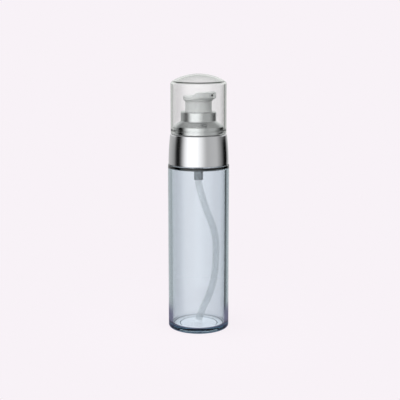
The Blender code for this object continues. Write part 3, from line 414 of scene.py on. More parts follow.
def ridge_rise(height, steps, start, ridge, turns=1.25, fade=0.125):
    """How far a screw ridge stands out at each height and step round: a circle's arc across the ridge.

    The ridge's middle climbs one pitch a turn from the start height. Its arc's radius grows from three
    tenths to the full ridge over the first part of a turn, and shrinks so again at the end.
    """
    angle = np.linspace(0.0, math.tau, steps, endpoint=False)
    rise = np.zeros((len(height), steps))
    for lap in range(math.ceil(turns)):
        turned = angle / math.tau + lap
        run_in = np.clip(np.minimum(turned, turns - turned) / fade, 0.0, 1.0)
        arc = ridge * (0.3 + 0.7 * run_in) * ((turned >= 0) & (turned <= turns))
        off = height - start - THREAD_PITCH * turned
        rise = np.maximum(rise, np.sqrt(np.maximum(arc ** 2 - off ** 2, 0.0)))
    return rise


neck_rows = [(NECK_RADIUS, height) for height in np.arange(*NECK_ROWS, -THREAD_ROW_STEP) * MM]
profile = outline([
    (0.0, BODY_FLOOR + FLOOR_CROWN),
    (PUSH_UP_RADIUS, BODY_FLOOR),
    (BODY_BORE, BODY_FLOOR, 1.6 * MM),
    (BODY_BORE, 102.2 * MM, 1.5 * MM),
    (NECK_BORE, 108.3 * MM, 1.5 * MM),
    (NECK_BORE, NECK_TOP, 0.25 * MM),
    (NECK_RADIUS, NECK_TOP, 0.35 * MM),
    *neck_rows,
    (NECK_RADIUS, 109.2 * MM, 0.8 * MM),
    (17.6 * MM, BODY_TOP, 0.4 * MM),
    (BODY_RADIUS, BODY_TOP, 0.5 * MM),
    (BODY_RADIUS, 0.0, 1.4 * MM),
    (PUSH_UP_RADIUS, 0.0, 0.5 * MM),
    (PUSH_UP_RADIUS - PUSH_UP, PUSH_UP, 0.4 * MM),
    (0.0, PUSH_UP),
], closed=False)
grid = revolve(profile, SHOWN_STEPS)
on_neck = np.abs(profile[:, :1] - NECK_RADIUS) < ON_RADIUS
push_out(grid, ridge_rise(profile[:, 1:], SHOWN_STEPS, NECK_THREAD_START, NECK_RIDGE) * on_neck)

# Clear polyester, blown in a polished mould: glass-smooth, with a smoke-blue dye that deepens with the
# length of plastic that the light passes, so the walls are pale and the base and rims nearly navy. The
# blowing leaves a faint upright waviness, about 9 mm from crest to crest.
tinted_petg = new_material("blown_tinted_petg", {
    "Base Color": linear("#FFFFFF"), "Roughness": 0.0, "IOR": 1.57, "Transmission Weight": 1.0})
tree = tinted_petg.node_tree
dye = add(tree, "ShaderNodeVolumeAbsorption", {"Color": linear("#71B4CA"), "Density": 84.0})
tree.links.new(dye.outputs[0], tree.nodes["Material Output"].inputs["Volume"])
give_ripple(tinted_petg, 9.0 * MM, 0.03 * MM, stretch=(1.0, 1.0, 0.2))

bottle = make_piece("bottle_blown", grid, tinted_petg, hollow=False)
seat(bottle, "bottle", "bottle")


# Overcap. A thick clear moulding in styrene: a domed crown and a ceiling that follows it, a straight
# wall, and inside the rim a low snap bead that grips the collar's band. It stands on the sleeve's ledge.
CAP_FOOT = 123.4 * MM
CAP_TOP = 159.8 * MM
CAP_RADIUS = 17.25 * MM
CAP_BORE = 15.8 * MM
DOME_BALL = 31.99 * MM
CAP_SHOULDER = 2.5 * MM
BEAD_HEIGHT = 125.5 * MM
BEAD_RISE = 0.2 * MM
BEAD_HALF_WIDTH = 0.6 * MM

lean = math.asin((CAP_RADIUS - CAP_SHOULDER) / (DOME_BALL - CAP_SHOULDER))
leans = np.linspace(0.0, lean, 28)
dome = np.stack([DOME_BALL * np.sin(leans), CAP_TOP - DOME_BALL * (1 - np.cos(leans))], axis=-1)
shoulder_height = CAP_TOP - DOME_BALL + math.cos(lean) * (DOME_BALL - CAP_SHOULDER)
leans = np.linspace(lean, math.pi / 2, 12)[1:]
shoulder = np.stack([CAP_RADIUS - CAP_SHOULDER * (1 - np.sin(leans)),
                     shoulder_height + CAP_SHOULDER * np.cos(leans)], axis=-1)
climb = np.linspace(-1.0, 1.0, 13)
bead = np.stack([CAP_BORE - BEAD_RISE / 2 * (1 + np.cos(math.pi * climb)),
                 BEAD_HEIGHT + BEAD_HALF_WIDTH * climb], axis=-1)
wall = outline([
    (CAP_RADIUS, shoulder_height - 0.5 * MM),
    (CAP_RADIUS, CAP_FOOT, 0.3 * MM),
    (CAP_BORE, CAP_FOOT, 0.3 * MM),
    *bead,
    (CAP_BORE, 152.6 * MM),
], closed=False)
cap_wall = CAP_RADIUS - CAP_BORE
ceiling_ball = DOME_BALL - cap_wall
ceiling_round = CAP_SHOULDER - cap_wall
leans = np.linspace(math.pi / 2, lean, 12)
ceiling_corner = np.stack([CAP_BORE - ceiling_round * (1 - np.sin(leans)),
                           shoulder_height + ceiling_round * np.cos(leans)], axis=-1)
leans = np.linspace(lean, 0.0, 28)[1:]
ceiling = np.stack([ceiling_ball * np.sin(leans),
                    CAP_TOP - DOME_BALL + ceiling_ball * np.cos(leans)], axis=-1)
profile = np.concatenate([dome, shoulder, wall, ceiling_corner, ceiling])

# Clear styrene, moulded and bright: nearly colourless, with a trace of grey in its thick crown, and the
# faint unevenness of its flow from the gate, some 7 mm broad.
clear_styrene = new_material("moulded_clear_styrene", {
    "Base Color": linear("#FFFFFF"), "Roughness": 0.0, "IOR": 1.59, "Transmission Weight": 1.0})
tree = clear_styrene.node_tree
haze = add(tree, "ShaderNodeVolumeAbsorption", {"Color": linear("#BED4C0"), "Density": 64.0})
tree.links.new(haze.outputs[0], tree.nodes["Material Output"].inputs["Volume"])
give_ripple(clear_styrene, 7.0 * MM, 0.012 * MM)

overcap = make_piece("overcap_moulded", revolve(profile, SHOWN_STEPS), clear_styrene, hollow=False)
seat(overcap, "overcap", "overcap")


# Shoulder sleeve. Aluminium sheet drawn over a form, polished and silver anodised. It narrows in a
# shallow curve from the bottle's width to the overcap's, and turns in at the top as the cap's ledge.
SLEEVE_FOOT = 104.5 * MM
SLEEVE_TOP = 123.1 * MM
SLEEVE_RADIUS = 18.65 * MM
SLEEVE_DRAW_IN = 1.15 * MM
SLEEVE_SHEET = 0.5 * MM
LEDGE_BORE = 15.0 * MM


def sheet_outline(outer, thickness):
    """Closed outline of a bent sheet: the outer points, and back along them one thickness inside."""
    slope = np.gradient(outer, axis=0)
    slope /= np.hypot(slope[:, 0], slope[:, 1])[:, None]
    inner = outer + np.stack([slope[:, 1], -slope[:, 0]], axis=-1) * thickness
    return np.concatenate([outer, inner[::-1]])


heights = np.linspace(SLEEVE_TOP, SLEEVE_FOOT, 15)
climbed = (heights - SLEEVE_FOOT) / (SLEEVE_TOP - SLEEVE_FOOT)
curve = np.stack([SLEEVE_RADIUS - SLEEVE_DRAW_IN * climbed ** 2, heights], axis=-1)
corners = [(LEDGE_BORE, SLEEVE_TOP), (*curve[0], 0.7 * MM), *map(tuple, curve[1:])]
profile = sheet_outline(outline(corners, closed=False), SLEEVE_SHEET)

# Polished aluminium with a clear anodic film: a soft mirror, with faint turning lines round it, 0.2 mm
# apart and 25 mm long, drawn coarser than real ones so that they show.
polished_aluminium = new_material("polished_anodised_aluminium", {
    "Base Color": linear("#E4E5E7"), "Metallic": 1.0})
tree = polished_aluminium.node_tree
lines = noise_of(tree, 0.2 * MM, 2.0, (0.008, 0.008, 1.0))
film = add(tree, "ShaderNodeMapRange", {"Value": lines, "To Min": 0.10, "To Max": 0.17})
tree.links.new(film.outputs[0], tree.nodes["Principled BSDF"].inputs["Roughness"])

sleeve = make_piece("shoulder_sleeve_drawn", revolve(profile, SHOWN_STEPS), polished_aluminium,
                    hollow=True)
seat(sleeve, "closure", "shoulder_sleeve")


# Collar shell. Thinner aluminium, drawn in one with the band that the overcap grips, the cone, and the
# ring round the pump's button with its lip turned in.
RING_RADIUS = 10.95 * MM
RING_TOP = 136.8 * MM
BAND_RADIUS = 15.4 * MM
COLLAR_SHEET = 0.4 * MM

profile = sheet_outline(outline([
    (8.7 * MM, RING_TOP),
    (RING_RADIUS, RING_TOP, 0.6 * MM),
    (RING_RADIUS, 131.0 * MM, 0.3 * MM),
    (BAND_RADIUS, 127.9 * MM, 0.6 * MM),
    (BAND_RADIUS, CAP_FOOT),
], closed=False), COLLAR_SHEET)

# The same metal and film, with a base colour a shade greyer.
drawn_collar = polished_aluminium.copy()
drawn_collar.name = "deep_drawn_anodised_aluminium"
drawn_collar.node_tree.nodes["Principled BSDF"].inputs["Base Color"].default_value = linear("#D8D9DB")
collar = make_piece("collar_shell_drawn", revolve(profile, SHOWN_STEPS), drawn_collar, hollow=True)
seat(collar, "closure", "collar_shell")


# Closure core and sleeve liner. White polypropylene mouldings under the metal: the core has the screw
# thread that grips the neck and the tube that stands behind the ring; the liner carries the sleeve.
CORE_BORE = 12.2 * MM
CORE_RADIUS = 14.7 * MM
CORE_FOOT = 109.5 * MM
CORE_TUBE_BORE = 9.2 * MM
CORE_TUBE_RADIUS = 10.25 * MM
CORE_TUBE_TOP = 136.1 * MM
CORE_TUBE_FOOT = 124.7 * MM
CORE_THREAD_START = 110.6 * MM
CORE_RIDGE = 0.9 * MM
CORE_ROWS = (110.2, 117.6)
LINER_TOP = 122.3 * MM
LINER_FOOT = 105.5 * MM
LINER_LIP_FOOT = 120.8 * MM
LINER_RADIUS = 17.85 * MM
LINER_WALL = 1.5 * MM

core_rows = [(CORE_BORE, height) for height in np.arange(*CORE_ROWS, THREAD_ROW_STEP) * MM]
profile = outline([
    (CORE_TUBE_BORE, CORE_TUBE_TOP, 0.2 * MM),
    (CORE_TUBE_RADIUS, CORE_TUBE_TOP, 0.2 * MM),
    (CORE_TUBE_RADIUS, 130.55 * MM, 0.3 * MM),
    (CORE_RADIUS, 127.45 * MM, 0.3 * MM),
    (CORE_RADIUS, CORE_FOOT, 0.3 * MM),
    (CORE_BORE, CORE_FOOT, 0.3 * MM),
    *core_rows,
    (CORE_BORE, 127.7 * MM, 0.3 * MM),
    (CORE_TUBE_RADIUS, 129.1 * MM, 0.2 * MM),
    (CORE_TUBE_RADIUS, CORE_TUBE_FOOT, 0.2 * MM),
    (CORE_TUBE_BORE, CORE_TUBE_FOOT, 0.2 * MM),
], closed=True)
grid = revolve(profile, CLOSURE_STEPS)
in_bore = np.abs(profile[:, :1] - CORE_BORE) < ON_RADIUS
push_out(grid, -ridge_rise(profile[:, 1:], CLOSURE_STEPS, CORE_THREAD_START, CORE_RIDGE) * in_bore)

# White polypropylene, moulded in a satin-finished tool: an even, waxy white with a fine matt grain.
white_polypropylene = new_material("moulded_white_polypropylene", {"IOR": 1.49})
give_grain(white_polypropylene, ("#D2D2D4", "#DADADC"), 0.30 * MM, 0.004 * MM, (0.38, 0.48))

core = make_piece("closure_core_moulded", grid, white_polypropylene, hollow=True)
seat(core, "closure", "closure_core")

heights = np.linspace(LINER_TOP, LINER_FOOT, 9)
climbed = (heights - SLEEVE_FOOT) / (SLEEVE_TOP - SLEEVE_FOOT)
outer = np.stack([LINER_RADIUS - SLEEVE_DRAW_IN * climbed ** 2, heights], axis=-1)
inner = outer - np.array([LINER_WALL, 0.0])
lip = [(inner[0, 0], LINER_LIP_FOOT), (LEDGE_BORE, LINER_LIP_FOOT), (LEDGE_BORE, LINER_TOP)]
profile = with_supports(np.concatenate([outer, inner[:0:-1], lip]), closed=True)
liner = make_piece("sleeve_liner_moulded", revolve(profile, CLOSURE_STEPS), white_polypropylene,
                   hollow=True)
seat(liner, "closure", "sleeve_liner")


# Push button. One moulding: a round skirt that dives into the ring, and a head that narrows in plan
# from a round rear with a hollowed finger pad, up a ramp, to the thicker end of the spout.
BUTTON_HEIGHT = 142.9 * MM
SPOUT_TURN = math.radians(-47.0)
HEAD_RADIUS = 9.45 * MM
SPOUT_LENGTH = 12.0 * MM
SPOUT_HALF = 3.2 * MM
PAD_HEIGHT = 3.3 * MM
SPOUT_HEIGHT = 6.15 * MM
EDGE = 0.45 * MM
PLAN_STEPS = 288
HOLLOW_DEPTH = 0.35 * MM
HOLLOW_REACH = 6.8 * MM
HOLLOW_SET_BACK = 2.0 * MM
RAMP = (2.2 * MM, 6.6 * MM)
HEAD_FOOT = 1.0 * MM
STEP_UP = 0.75 * MM
STEP_RUN = (6.0 * MM, 7.4 * MM)
CHAMFER_RUN = (0.5 * MM, 8.0 * MM)
UNDERSIDE_RADIUS = 9.05 * MM


def head_plan():
    """Plan of the head, even steps along it, and its outward normals: a circle's rear, two tangents
    to it, and the flat end of the spout with its corners rounded."""
    far = math.hypot(SPOUT_LENGTH, SPOUT_HALF)
    leave = math.atan2(SPOUT_HALF, SPOUT_LENGTH) + math.acos(HEAD_RADIUS / far)
    sweep_angle = np.linspace(leave, math.tau - leave, 181)
    rear = [(HEAD_RADIUS * math.cos(a), HEAD_RADIUS * math.sin(a)) for a in sweep_angle]
    corners = rear + [(SPOUT_LENGTH, -SPOUT_HALF, 1.0 * MM), (SPOUT_LENGTH, SPOUT_HALF, 1.0 * MM)]
    line = outline(corners, closed=True)
    line = np.concatenate([line, line[:1]])
    length = np.concatenate([[0.0], np.cumsum(np.hypot(*np.diff(line, axis=0).T))])
    even = np.linspace(0.0, length[-1], PLAN_STEPS, endpoint=False)
    plan = np.stack([np.interp(even, length, line[:, 0]), np.interp(even, length, line[:, 1])], axis=-1)
    along = np.roll(plan, -1, axis=0) - np.roll(plan, 1, axis=0)
    along /= np.hypot(along[:, 0], along[:, 1])[:, None]
    return plan, np.stack([along[:, 1], -along[:, 0]], axis=-1)


def smooth_step(value, start, end):
    """Zero before the start, one after the end, and 3 t^2 - 2 t^3 between them."""
    t = np.clip((value - start) / (end - start), 0.0, 1.0)
    return t * t * (3 - 2 * t)


def head_top(x, y):
    """Height of the head's top: the pad, with a hollow of depth (1 - r^2)^2 round a point behind its
    middle, then a ramp to the top of the spout."""
    ramp = smooth_step(x, *RAMP)
    off_middle = ((x + HOLLOW_SET_BACK) ** 2 + y ** 2) / HOLLOW_REACH ** 2
    hollow = HOLLOW_DEPTH * np.clip(1.0 - off_middle, 0.0, 1.0) ** 2
    return PAD_HEIGHT + (SPOUT_HEIGHT - PAD_HEIGHT) * ramp - hollow * (1.0 - ramp)


def head_foot(x):
    """Height of the head's lower edge: level at the rear, and a step up under the spout."""
    return HEAD_FOOT + STEP_UP * smooth_step(x, *STEP_RUN)


plan, normal = head_plan()
rows = []
inset = plan - normal * EDGE
for reach in np.concatenate([np.linspace(0.0, 0.9, 28), [0.94, 0.97, 0.99]]):
    ring = inset * reach
    rows.append(np.column_stack([ring, head_top(*ring.T)]))
rim_height = head_top(*inset.T)
for lean in np.linspace(0.0, math.pi / 2, 7):
    ring = plan - normal * EDGE * (1 - math.sin(lean))
    rows.append(np.column_stack([ring, rim_height - EDGE * (1 - math.cos(lean))]))
foot_height = head_foot(plan[:, 0])
spout_share = smooth_step(plan[:, 0], *CHAMFER_RUN)
chamfer_rise = 0.25 * MM + spout_share * (0.55 + 0.65 * normal[:, 1] ** 2) * MM
chamfer_inset = (0.25 * MM + 0.65 * MM * spout_share)[:, None]
for share in (0.05, 0.35, 0.65, 0.95):
    height = (1 - share) * (rim_height - EDGE) + share * (foot_height + chamfer_rise)
    rows.append(np.column_stack([plan, height]))
for share in (0.0, 0.06, 0.5, 0.94, 1.0):
    ring = plan - normal * chamfer_inset * share
    rows.append(np.column_stack([ring, foot_height + chamfer_rise * (1 - share)]))
ring = rows[-1][:, :2]
around = ring / np.hypot(ring[:, 0], ring[:, 1])[:, None]
underside_ring = around * UNDERSIDE_RADIUS
for share in (0.3, 0.7, 1.0):
    between = ring + (underside_ring - ring) * share
    rows.append(np.column_stack([between, head_foot(between[:, 0])]))
# Outline of the skirt, its inside, and the socket that takes the stem; its first two points lie on the
# underside's ring, which already ends the head.
skirt = outline([
    (UNDERSIDE_RADIUS, 0.85 * MM, 0.1 * MM),
    (8.15 * MM, 0.0, 0.3 * MM),
    (8.15 * MM, -7.4 * MM, 0.25 * MM),
    (7.0 * MM, -7.4 * MM, 0.25 * MM),
    (7.0 * MM, 0.5 * MM, 0.3 * MM),
    (3.1 * MM, 0.5 * MM, 0.3 * MM),
    (3.1 * MM, -6.5 * MM, 0.2 * MM),
    (2.3 * MM, -6.5 * MM, 0.2 * MM),
    (2.3 * MM, -1.8 * MM, 0.1 * MM),
    (0.9 * MM, -1.8 * MM, 0.1 * MM),
    (0.9 * MM, 2.1 * MM, 0.1 * MM),
    (0.0, 2.1 * MM),
], closed=False)
for radius, height in skirt[2:]:
    rows.append(np.column_stack([around * radius, np.full(PLAN_STEPS, height)]))
grid = np.stack(rows)


def turned_points(points, turn, centre):
    """Points turned about the vertical, to (x cos a - y sin a, x sin a + y cos a), then moved."""
    x, y, z = np.moveaxis(points, -1, 0)
    return np.stack([x * math.cos(turn) - y * math.sin(turn),
                     x * math.sin(turn) + y * math.cos(turn), z], axis=-1) + centre


def turn_with_spout(points):
    """Points of the button's own frame, spout along +X, turned to where the spout points at rest."""
    return turned_points(points, SPOUT_TURN, (0.0, 0.0, BUTTON_HEIGHT))


def cut(piece, tool):
    """Take the tool's volume out of the piece for good, and remove the tool."""
    step = piece.modifiers.new("cut", "BOOLEAN")
    step.operation = "DIFFERENCE"
    step.solver = "EXACT"
    step.object = tool
    bpy.context.view_layer.update()
    carved = piece.evaluated_get(bpy.context.evaluated_depsgraph_get())
    mesh = bpy.data.meshes.new_from_object(carved)
    piece.modifiers.clear()
    piece.data = mesh
    bpy.data.objects.remove(tool)
    mesh.set_sharp_from_angle(angle=math.radians(40.0))


# The button's polypropylene, moulded with a semi-gloss finish: a cool pale grey-white.
button_polypropylene = new_material("moulded_button_polypropylene", {"IOR": 1.49})
give_grain(button_polypropylene, ("#E0E0E2", "#E6E6E8"), 0.30 * MM, 0.003 * MM, (0.28, 0.38))

button = make_piece("actuator_moulded", turn_with_spout(grid), button_polypropylene, hollow=False)


def rod_between(start, end, radius, segments):
    """Round bar between two points: a pole, rings of the radius square to the line, and a pole."""
    start = np.array(start)
    end = np.array(end)
    run = (end - start) / np.linalg.norm(end - start)
    side = np.cross(run, (0.0, 1.0, 0.0))
    side /= np.linalg.norm(side)
    angle = np.linspace(0.0, math.tau, segments, endpoint=False)
    ring = np.cos(angle)[:, None] * side + np.sin(angle)[:, None] * np.cross(run, side)
    return np.stack([end + ring * 0, end + ring * radius, start + ring * radius, start + ring * 0])


# The pocket for the insert, open at the spout's end, and the slanted channel from the stem to it.
INSERT_HEIGHT = 4.25 * MM
POCKET_START = 8.25 * MM
for name, start, end, radius, steps in (
        ("pocket", (POCKET_START, 0.0, INSERT_HEIGHT), (13.5 * MM, 0.0, INSERT_HEIGHT), 1.45 * MM, 48),
        ("channel", (0.0, 0.0, 1.2 * MM), (9.0 * MM, 0.0, INSERT_HEIGHT), 0.75 * MM, 24)):
    bar = turn_with_spout(rod_between(start, end, radius, steps))
    cut(button, make_piece(name, bar, button_polypropylene, hollow=False))
seat(button, "button", "actuator")


# Nozzle insert. A small plug, pressed into the spout's end. Its base colour is set whiter than the
# button's as a painted highlight of its lit rim, and the orifice's wall is painted nearly black, a
# painted shade for the light that the bore swallows.
INSERT_BORE = 0.78 * MM
# Radii across which the orifice's painted shade fades in.
PAINTED_SHADE_EDGE = (0.74 * MM, 0.80 * MM)

# Painted highlight: the plug's base colour is whiter than the button's to show its lit rim.
insert_polypropylene = new_material("moulded_insert_polypropylene_painted_light_and_shade", {"IOR": 1.49})
give_grain(insert_polypropylene, ("#F2F2F2", "#F8F8F8"), 0.20 * MM, 0.002 * MM, (0.25, 0.35))
tree = insert_polypropylene.node_tree
shader = tree.nodes["Principled BSDF"]
# Painted shade: the base colour turns nearly black within the orifice's radius, measured off the spout's
# axis.
place = add(tree, "ShaderNodeTexCoord").outputs["Object"]
raised = add(tree, "ShaderNodeVectorMath", {0: place, 1: (0.0, 0.0, BUTTON_HEIGHT + INSERT_HEIGHT)},
             operation="SUBTRACT")
along_spout = add(tree, "ShaderNodeMapping", {"Vector": raised,
                                              "Rotation": (0.0, 0.0, -SPOUT_TURN)})
off_axis = add(tree, "ShaderNodeVectorMath", {0: along_spout, 1: (0.0, 1.0, 1.0)},
               operation="MULTIPLY")
from_axis = add(tree, "ShaderNodeVectorMath", {0: off_axis}, operation="LENGTH")
in_bore = add(tree, "ShaderNodeMapRange", {"Value": from_axis.outputs["Value"],
                                           "From Min": PAINTED_SHADE_EDGE[0], "From Max": PAINTED_SHADE_EDGE[1]})
painted_bore_shade = add(tree, "ShaderNodeMix", {0: in_bore, 6: linear("#1E1E1C"),
                                       7: shader.inputs["Base Color"].links[0].from_socket},
               data_type="RGBA")
tree.links.new(painted_bore_shade.outputs[2], shader.inputs["Base Color"])
profile = outline([
    (INSERT_BORE, 3.2 * MM, 0.06 * MM),
    (1.35 * MM, 3.2 * MM, 0.12 * MM),
    (1.35 * MM, 0.0, 0.1 * MM),
    (0.95 * MM, 0.0, 0.1 * MM),
    (0.95 * MM, 2.2 * MM, 0.05 * MM),
    (0.5 * MM, 2.2 * MM, 0.05 * MM),
], closed=True)
plug = revolve(profile, NARROW_STEPS)
plug = np.stack([plug[..., 2] + POCKET_START + 0.3 * MM, plug[..., 1], INSERT_HEIGHT - plug[..., 0]],
                axis=-1)
insert = make_piece("nozzle_insert_moulded", turn_with_spout(plug), insert_polypropylene, hollow=True)
seat(insert, "button", "nozzle_insert")


# Pump housing. Natural polypropylene: a flange that hangs on the neck, a cup, the chamber, and the tail
# that shows under the sleeve and grips the dip tube.
def turned_ring(name, corners, steps, material):
    """Turned piece with a bore: its closed outline, given by corners as (radius, height, rounding)."""
    return make_piece(name, revolve(outline(corners, closed=True), steps), material, hollow=True)


# Natural polypropylene, undyed: a milky grey that light sinks into.
natural_polypropylene = new_material("moulded_natural_polypropylene", {"IOR": 1.49})
give_grain(natural_polypropylene, ("#B0B4BC", "#B8BCC4"), 0.35 * MM, 0.003 * MM, (0.34, 0.44))

housing = turned_ring("pump_housing_moulded", [
    (6.0 * MM, 124.4 * MM, 0.2 * MM),
    (11.6 * MM, 124.4 * MM, 0.3 * MM),
    (11.6 * MM, 123.2 * MM, 0.3 * MM),
    (7.6 * MM, 123.2 * MM, 0.3 * MM),
    (7.6 * MM, 120.1 * MM, 0.4 * MM),
    (4.6 * MM, 118.8 * MM, 0.3 * MM),
    (4.6 * MM, 104.7 * MM, 0.4 * MM),
    (2.8 * MM, 102.5 * MM, 0.4 * MM),
    (2.8 * MM, 94.44 * MM, 0.12 * MM),
    (2.4 * MM, 94.44 * MM, 0.12 * MM),
    (2.4 * MM, 99.94 * MM, 0.1 * MM),
    (0.9 * MM, 99.94 * MM, 0.1 * MM),
    (0.9 * MM, 100.74 * MM, 0.1 * MM),
    (1.8 * MM, 101.64 * MM, 0.1 * MM),
    (1.8 * MM, 104.0 * MM, 0.1 * MM),
    (3.3 * MM, 104.7 * MM, 0.1 * MM),
    (3.3 * MM, 121.0 * MM, 0.1 * MM),
    (6.0 * MM, 121.0 * MM, 0.1 * MM),
], WIDE_STEPS, natural_polypropylene)
seat(housing, "pump", "pump_housing")


# Retainer. White polypropylene turret, snapped into the housing's cup: its plug fits inside the cup, and
# its long guide holds the stem upright and stops its rise.
retainer = turned_ring("retainer_moulded", [
    (2.45 * MM, 130.0 * MM, 0.3 * MM),
    (4.2 * MM, 130.0 * MM, 0.4 * MM),
    (4.2 * MM, 125.7 * MM, 0.3 * MM),
    (7.5 * MM, 125.7 * MM, 0.25 * MM),
    (7.5 * MM, 124.7 * MM, 0.2 * MM),
    (5.85 * MM, 124.7 * MM, 0.1 * MM),
    (5.85 * MM, 121.3 * MM, 0.25 * MM),
    (4.6 * MM, 121.3 * MM, 0.25 * MM),
    (4.6 * MM, 124.7 * MM, 0.1 * MM),
    (2.45 * MM, 124.7 * MM, 0.1 * MM),
], WIDE_STEPS, white_polypropylene)
seat(retainer, "pump", "retainer")


# Seals. Two soft polyethylene rings: the gasket between the neck's rim and the housing's flange, and the
# wiper that sits under the retainer's roof round the stem. Both are held by the parts above and below.
soft_polyethylene = new_material("moulded_soft_polyethylene", {"IOR": 1.51})
give_grain(soft_polyethylene, ("#DCDCD8", "#E6E6E2"), 0.25 * MM, 0.003 * MM, (0.50, 0.62))

gasket = turned_ring("neck_gasket_moulded", [
    (8.6 * MM, 122.9 * MM, 0.2 * MM),
    (11.6 * MM, 122.9 * MM, 0.2 * MM),
    (11.6 * MM, 121.9 * MM, 0.2 * MM),
    (8.6 * MM, 121.9 * MM, 0.2 * MM),
], WIDE_STEPS, soft_polyethylene)
seat(gasket, "pump", "neck_gasket")

seal = turned_ring("stem_seal_moulded", [
    (2.45 * MM, 124.4 * MM, 0.1 * MM),
    (4.3 * MM, 124.4 * MM, 0.15 * MM),
    (4.3 * MM, 123.8 * MM, 0.15 * MM),
    (2.45 * MM, 123.8 * MM, 0.1 * MM),
], NARROW_STEPS, soft_polyethylene)
seat(seal, "pump", "stem_seal")


# Stem. White polypropylene tube that carries the button on its top. A flange stops it under the
# retainer, and a slot across its foot lets the lotion in when the piston opens.
STEM_FOOT = 120.9 * MM

stem = turned_ring("stem_moulded", [
    (1.3 * MM, 140.8 * MM, 0.1 * MM),
    (2.2 * MM, 140.8 * MM, 0.3 * MM),
    (2.2 * MM, 123.5 * MM, 0.2 * MM),
    (3.05 * MM, 123.5 * MM, 0.2 * MM),
    (3.05 * MM, 122.5 * MM, 0.2 * MM),
    (2.2 * MM, 122.5 * MM, 0.2 * MM),
    (2.2 * MM, STEM_FOOT, 0.15 * MM),
    (1.3 * MM, STEM_FOOT, 0.15 * MM),
], NARROW_STEPS, white_polypropylene)


def box_at(centre, size, turn):
    """Box of this size about a centre, turned about the vertical: its eight corners and six faces."""
    signs = np.array([(x, y, z) for x in (-0.5, 0.5) for y in (-0.5, 0.5) for z in (-0.5, 0.5)])
    corners = turned_points(signs * size, turn, centre)
    faces = [(0, 1, 3, 2), (4, 6, 7, 5), (0, 4, 5, 1), (2, 3, 7, 6), (0, 2, 6, 4), (1, 5, 7, 3)]
    mesh = bpy.data.meshes.new("box")
    mesh.from_pydata(corners, [], faces)
    box = bpy.data.objects.new("box", mesh)
    scene.collection.objects.link(box)
    return box


cut(stem, box_at((0.0, 0.0, STEM_FOOT), (6.4 * MM, 0.8 * MM, 2.0 * MM), 0.0))
seat(stem, "stem", "stem")


# Piston rod. White polypropylene, plugged into the stem's foot. Its flange is the seat of the outlet
# valve and of the spring, and three flutes up its neck let the lotion past the plug.
ROD_TOP = 123.5 * MM
ROD_RADIUS = 1.2 * MM
ROD_STEPS = 144
FLUTE_FOOT = 117.0 * MM
FLUTE_RADIUS = 0.35 * MM
FLUTE_SPACING = math.tau / 3

profile = outline([
    (0.0, ROD_TOP),
    (ROD_RADIUS, ROD_TOP, 0.15 * MM),
    (ROD_RADIUS, FLUTE_FOOT),
    (ROD_RADIUS, 116.7 * MM, 0.1 * MM),
    (2.9 * MM, 116.7 * MM, 0.25 * MM),
    (2.9 * MM, 115.5 * MM, 0.25 * MM),
    (1.6 * MM, 115.5 * MM, 0.2 * MM),
    (1.6 * MM, 113.6 * MM, 0.4 * MM),
    (0.0, 113.6 * MM),
], closed=False)
grid = revolve(profile, ROD_STEPS)
angle = np.linspace(0.0, math.tau, ROD_STEPS, endpoint=False)
off_flute = (angle + FLUTE_SPACING / 2) % FLUTE_SPACING - FLUTE_SPACING / 2
off_side = ROD_RADIUS * np.sin(off_flute)
flute = ROD_RADIUS * np.cos(off_flute) - np.sqrt(np.maximum(FLUTE_RADIUS ** 2 - off_side ** 2, 0.0))
depth = np.where(np.abs(off_side) < FLUTE_RADIUS, np.maximum(ROD_RADIUS - flute, 0.0), 0.0)
fluted = (profile[:, 1:] > FLUTE_FOOT - ON_RADIUS) & (profile[:, :1] > ON_RADIUS)
push_out(grid, -depth * fluted)
rod = make_piece("piston_rod_moulded", grid, white_polypropylene, hollow=False)
seat(rod, "stem", "piston_rod")


# Piston. Soft polyethylene ring with a thin lip at each end that wipes the chamber's wall. It slips a
# little along the rod, which opens and shuts the way out through the stem.
piston = turned_ring("piston_moulded", [
    (1.45 * MM, 120.0 * MM, 0.15 * MM),
    (3.15 * MM, 120.0 * MM, 0.1 * MM),
    (2.65 * MM, 119.3 * MM, 0.2 * MM),
    (2.65 * MM, 117.7 * MM, 0.2 * MM),
    (3.15 * MM, 117.0 * MM, 0.1 * MM),
    (1.45 * MM, 117.0 * MM, 0.15 * MM),
], WIDE_STEPS, soft_polyethylene)
seat(piston, "piston", "piston")


# Return spring. Drawn spring-steel wire, 0.5 mm thick, coiled in five turns with short level ends. It
# stands on the ball's cage and lifts the rod's flange. The real one shortens when the button is pressed;
# this one keeps its length and stays with the pump's body.
SPRING_FOOT = 106.2 * MM
SPRING_LENGTH = 9.0 * MM
SPRING_RADIUS = 2.25 * MM
SPRING_TURNS = 5
SPRING_TURN_STEPS = 48
WIRE_RADIUS = 0.25 * MM
WIRE_STEPS = 16

turned = np.linspace(0.0, SPRING_TURNS, SPRING_TURN_STEPS * SPRING_TURNS + 1)
climb = SPRING_LENGTH - 2 * WIRE_RADIUS
middle = np.stack([SPRING_RADIUS * np.cos(math.tau * turned), SPRING_RADIUS * np.sin(math.tau * turned),
                   SPRING_FOOT + WIRE_RADIUS + climb * turned / SPRING_TURNS], axis=-1)
level_run = np.array([0.0, 2 * WIRE_RADIUS, 0.0])
middle = np.concatenate([[middle[0] - level_run], middle, [middle[-1] + level_run]])
run = np.gradient(middle, axis=0)
run /= np.linalg.norm(run, axis=1)[:, None]
inward = -middle * (1.0, 1.0, 0.0)
inward -= np.sum(inward * run, axis=1)[:, None] * run
inward /= np.linalg.norm(inward, axis=1)[:, None]
across = np.cross(run, inward)
angle = np.linspace(0.0, math.tau, WIRE_STEPS, endpoint=False)[None, :, None]
spokes = inward[:, None, :] * np.cos(angle) - across[:, None, :] * np.sin(angle)
wire = middle[:, None, :] + spokes * WIRE_RADIUS
ends = np.repeat(middle[[0, -1], None, :], WIRE_STEPS, axis=1)
grid = np.concatenate([ends[:1], wire, ends[1:]])

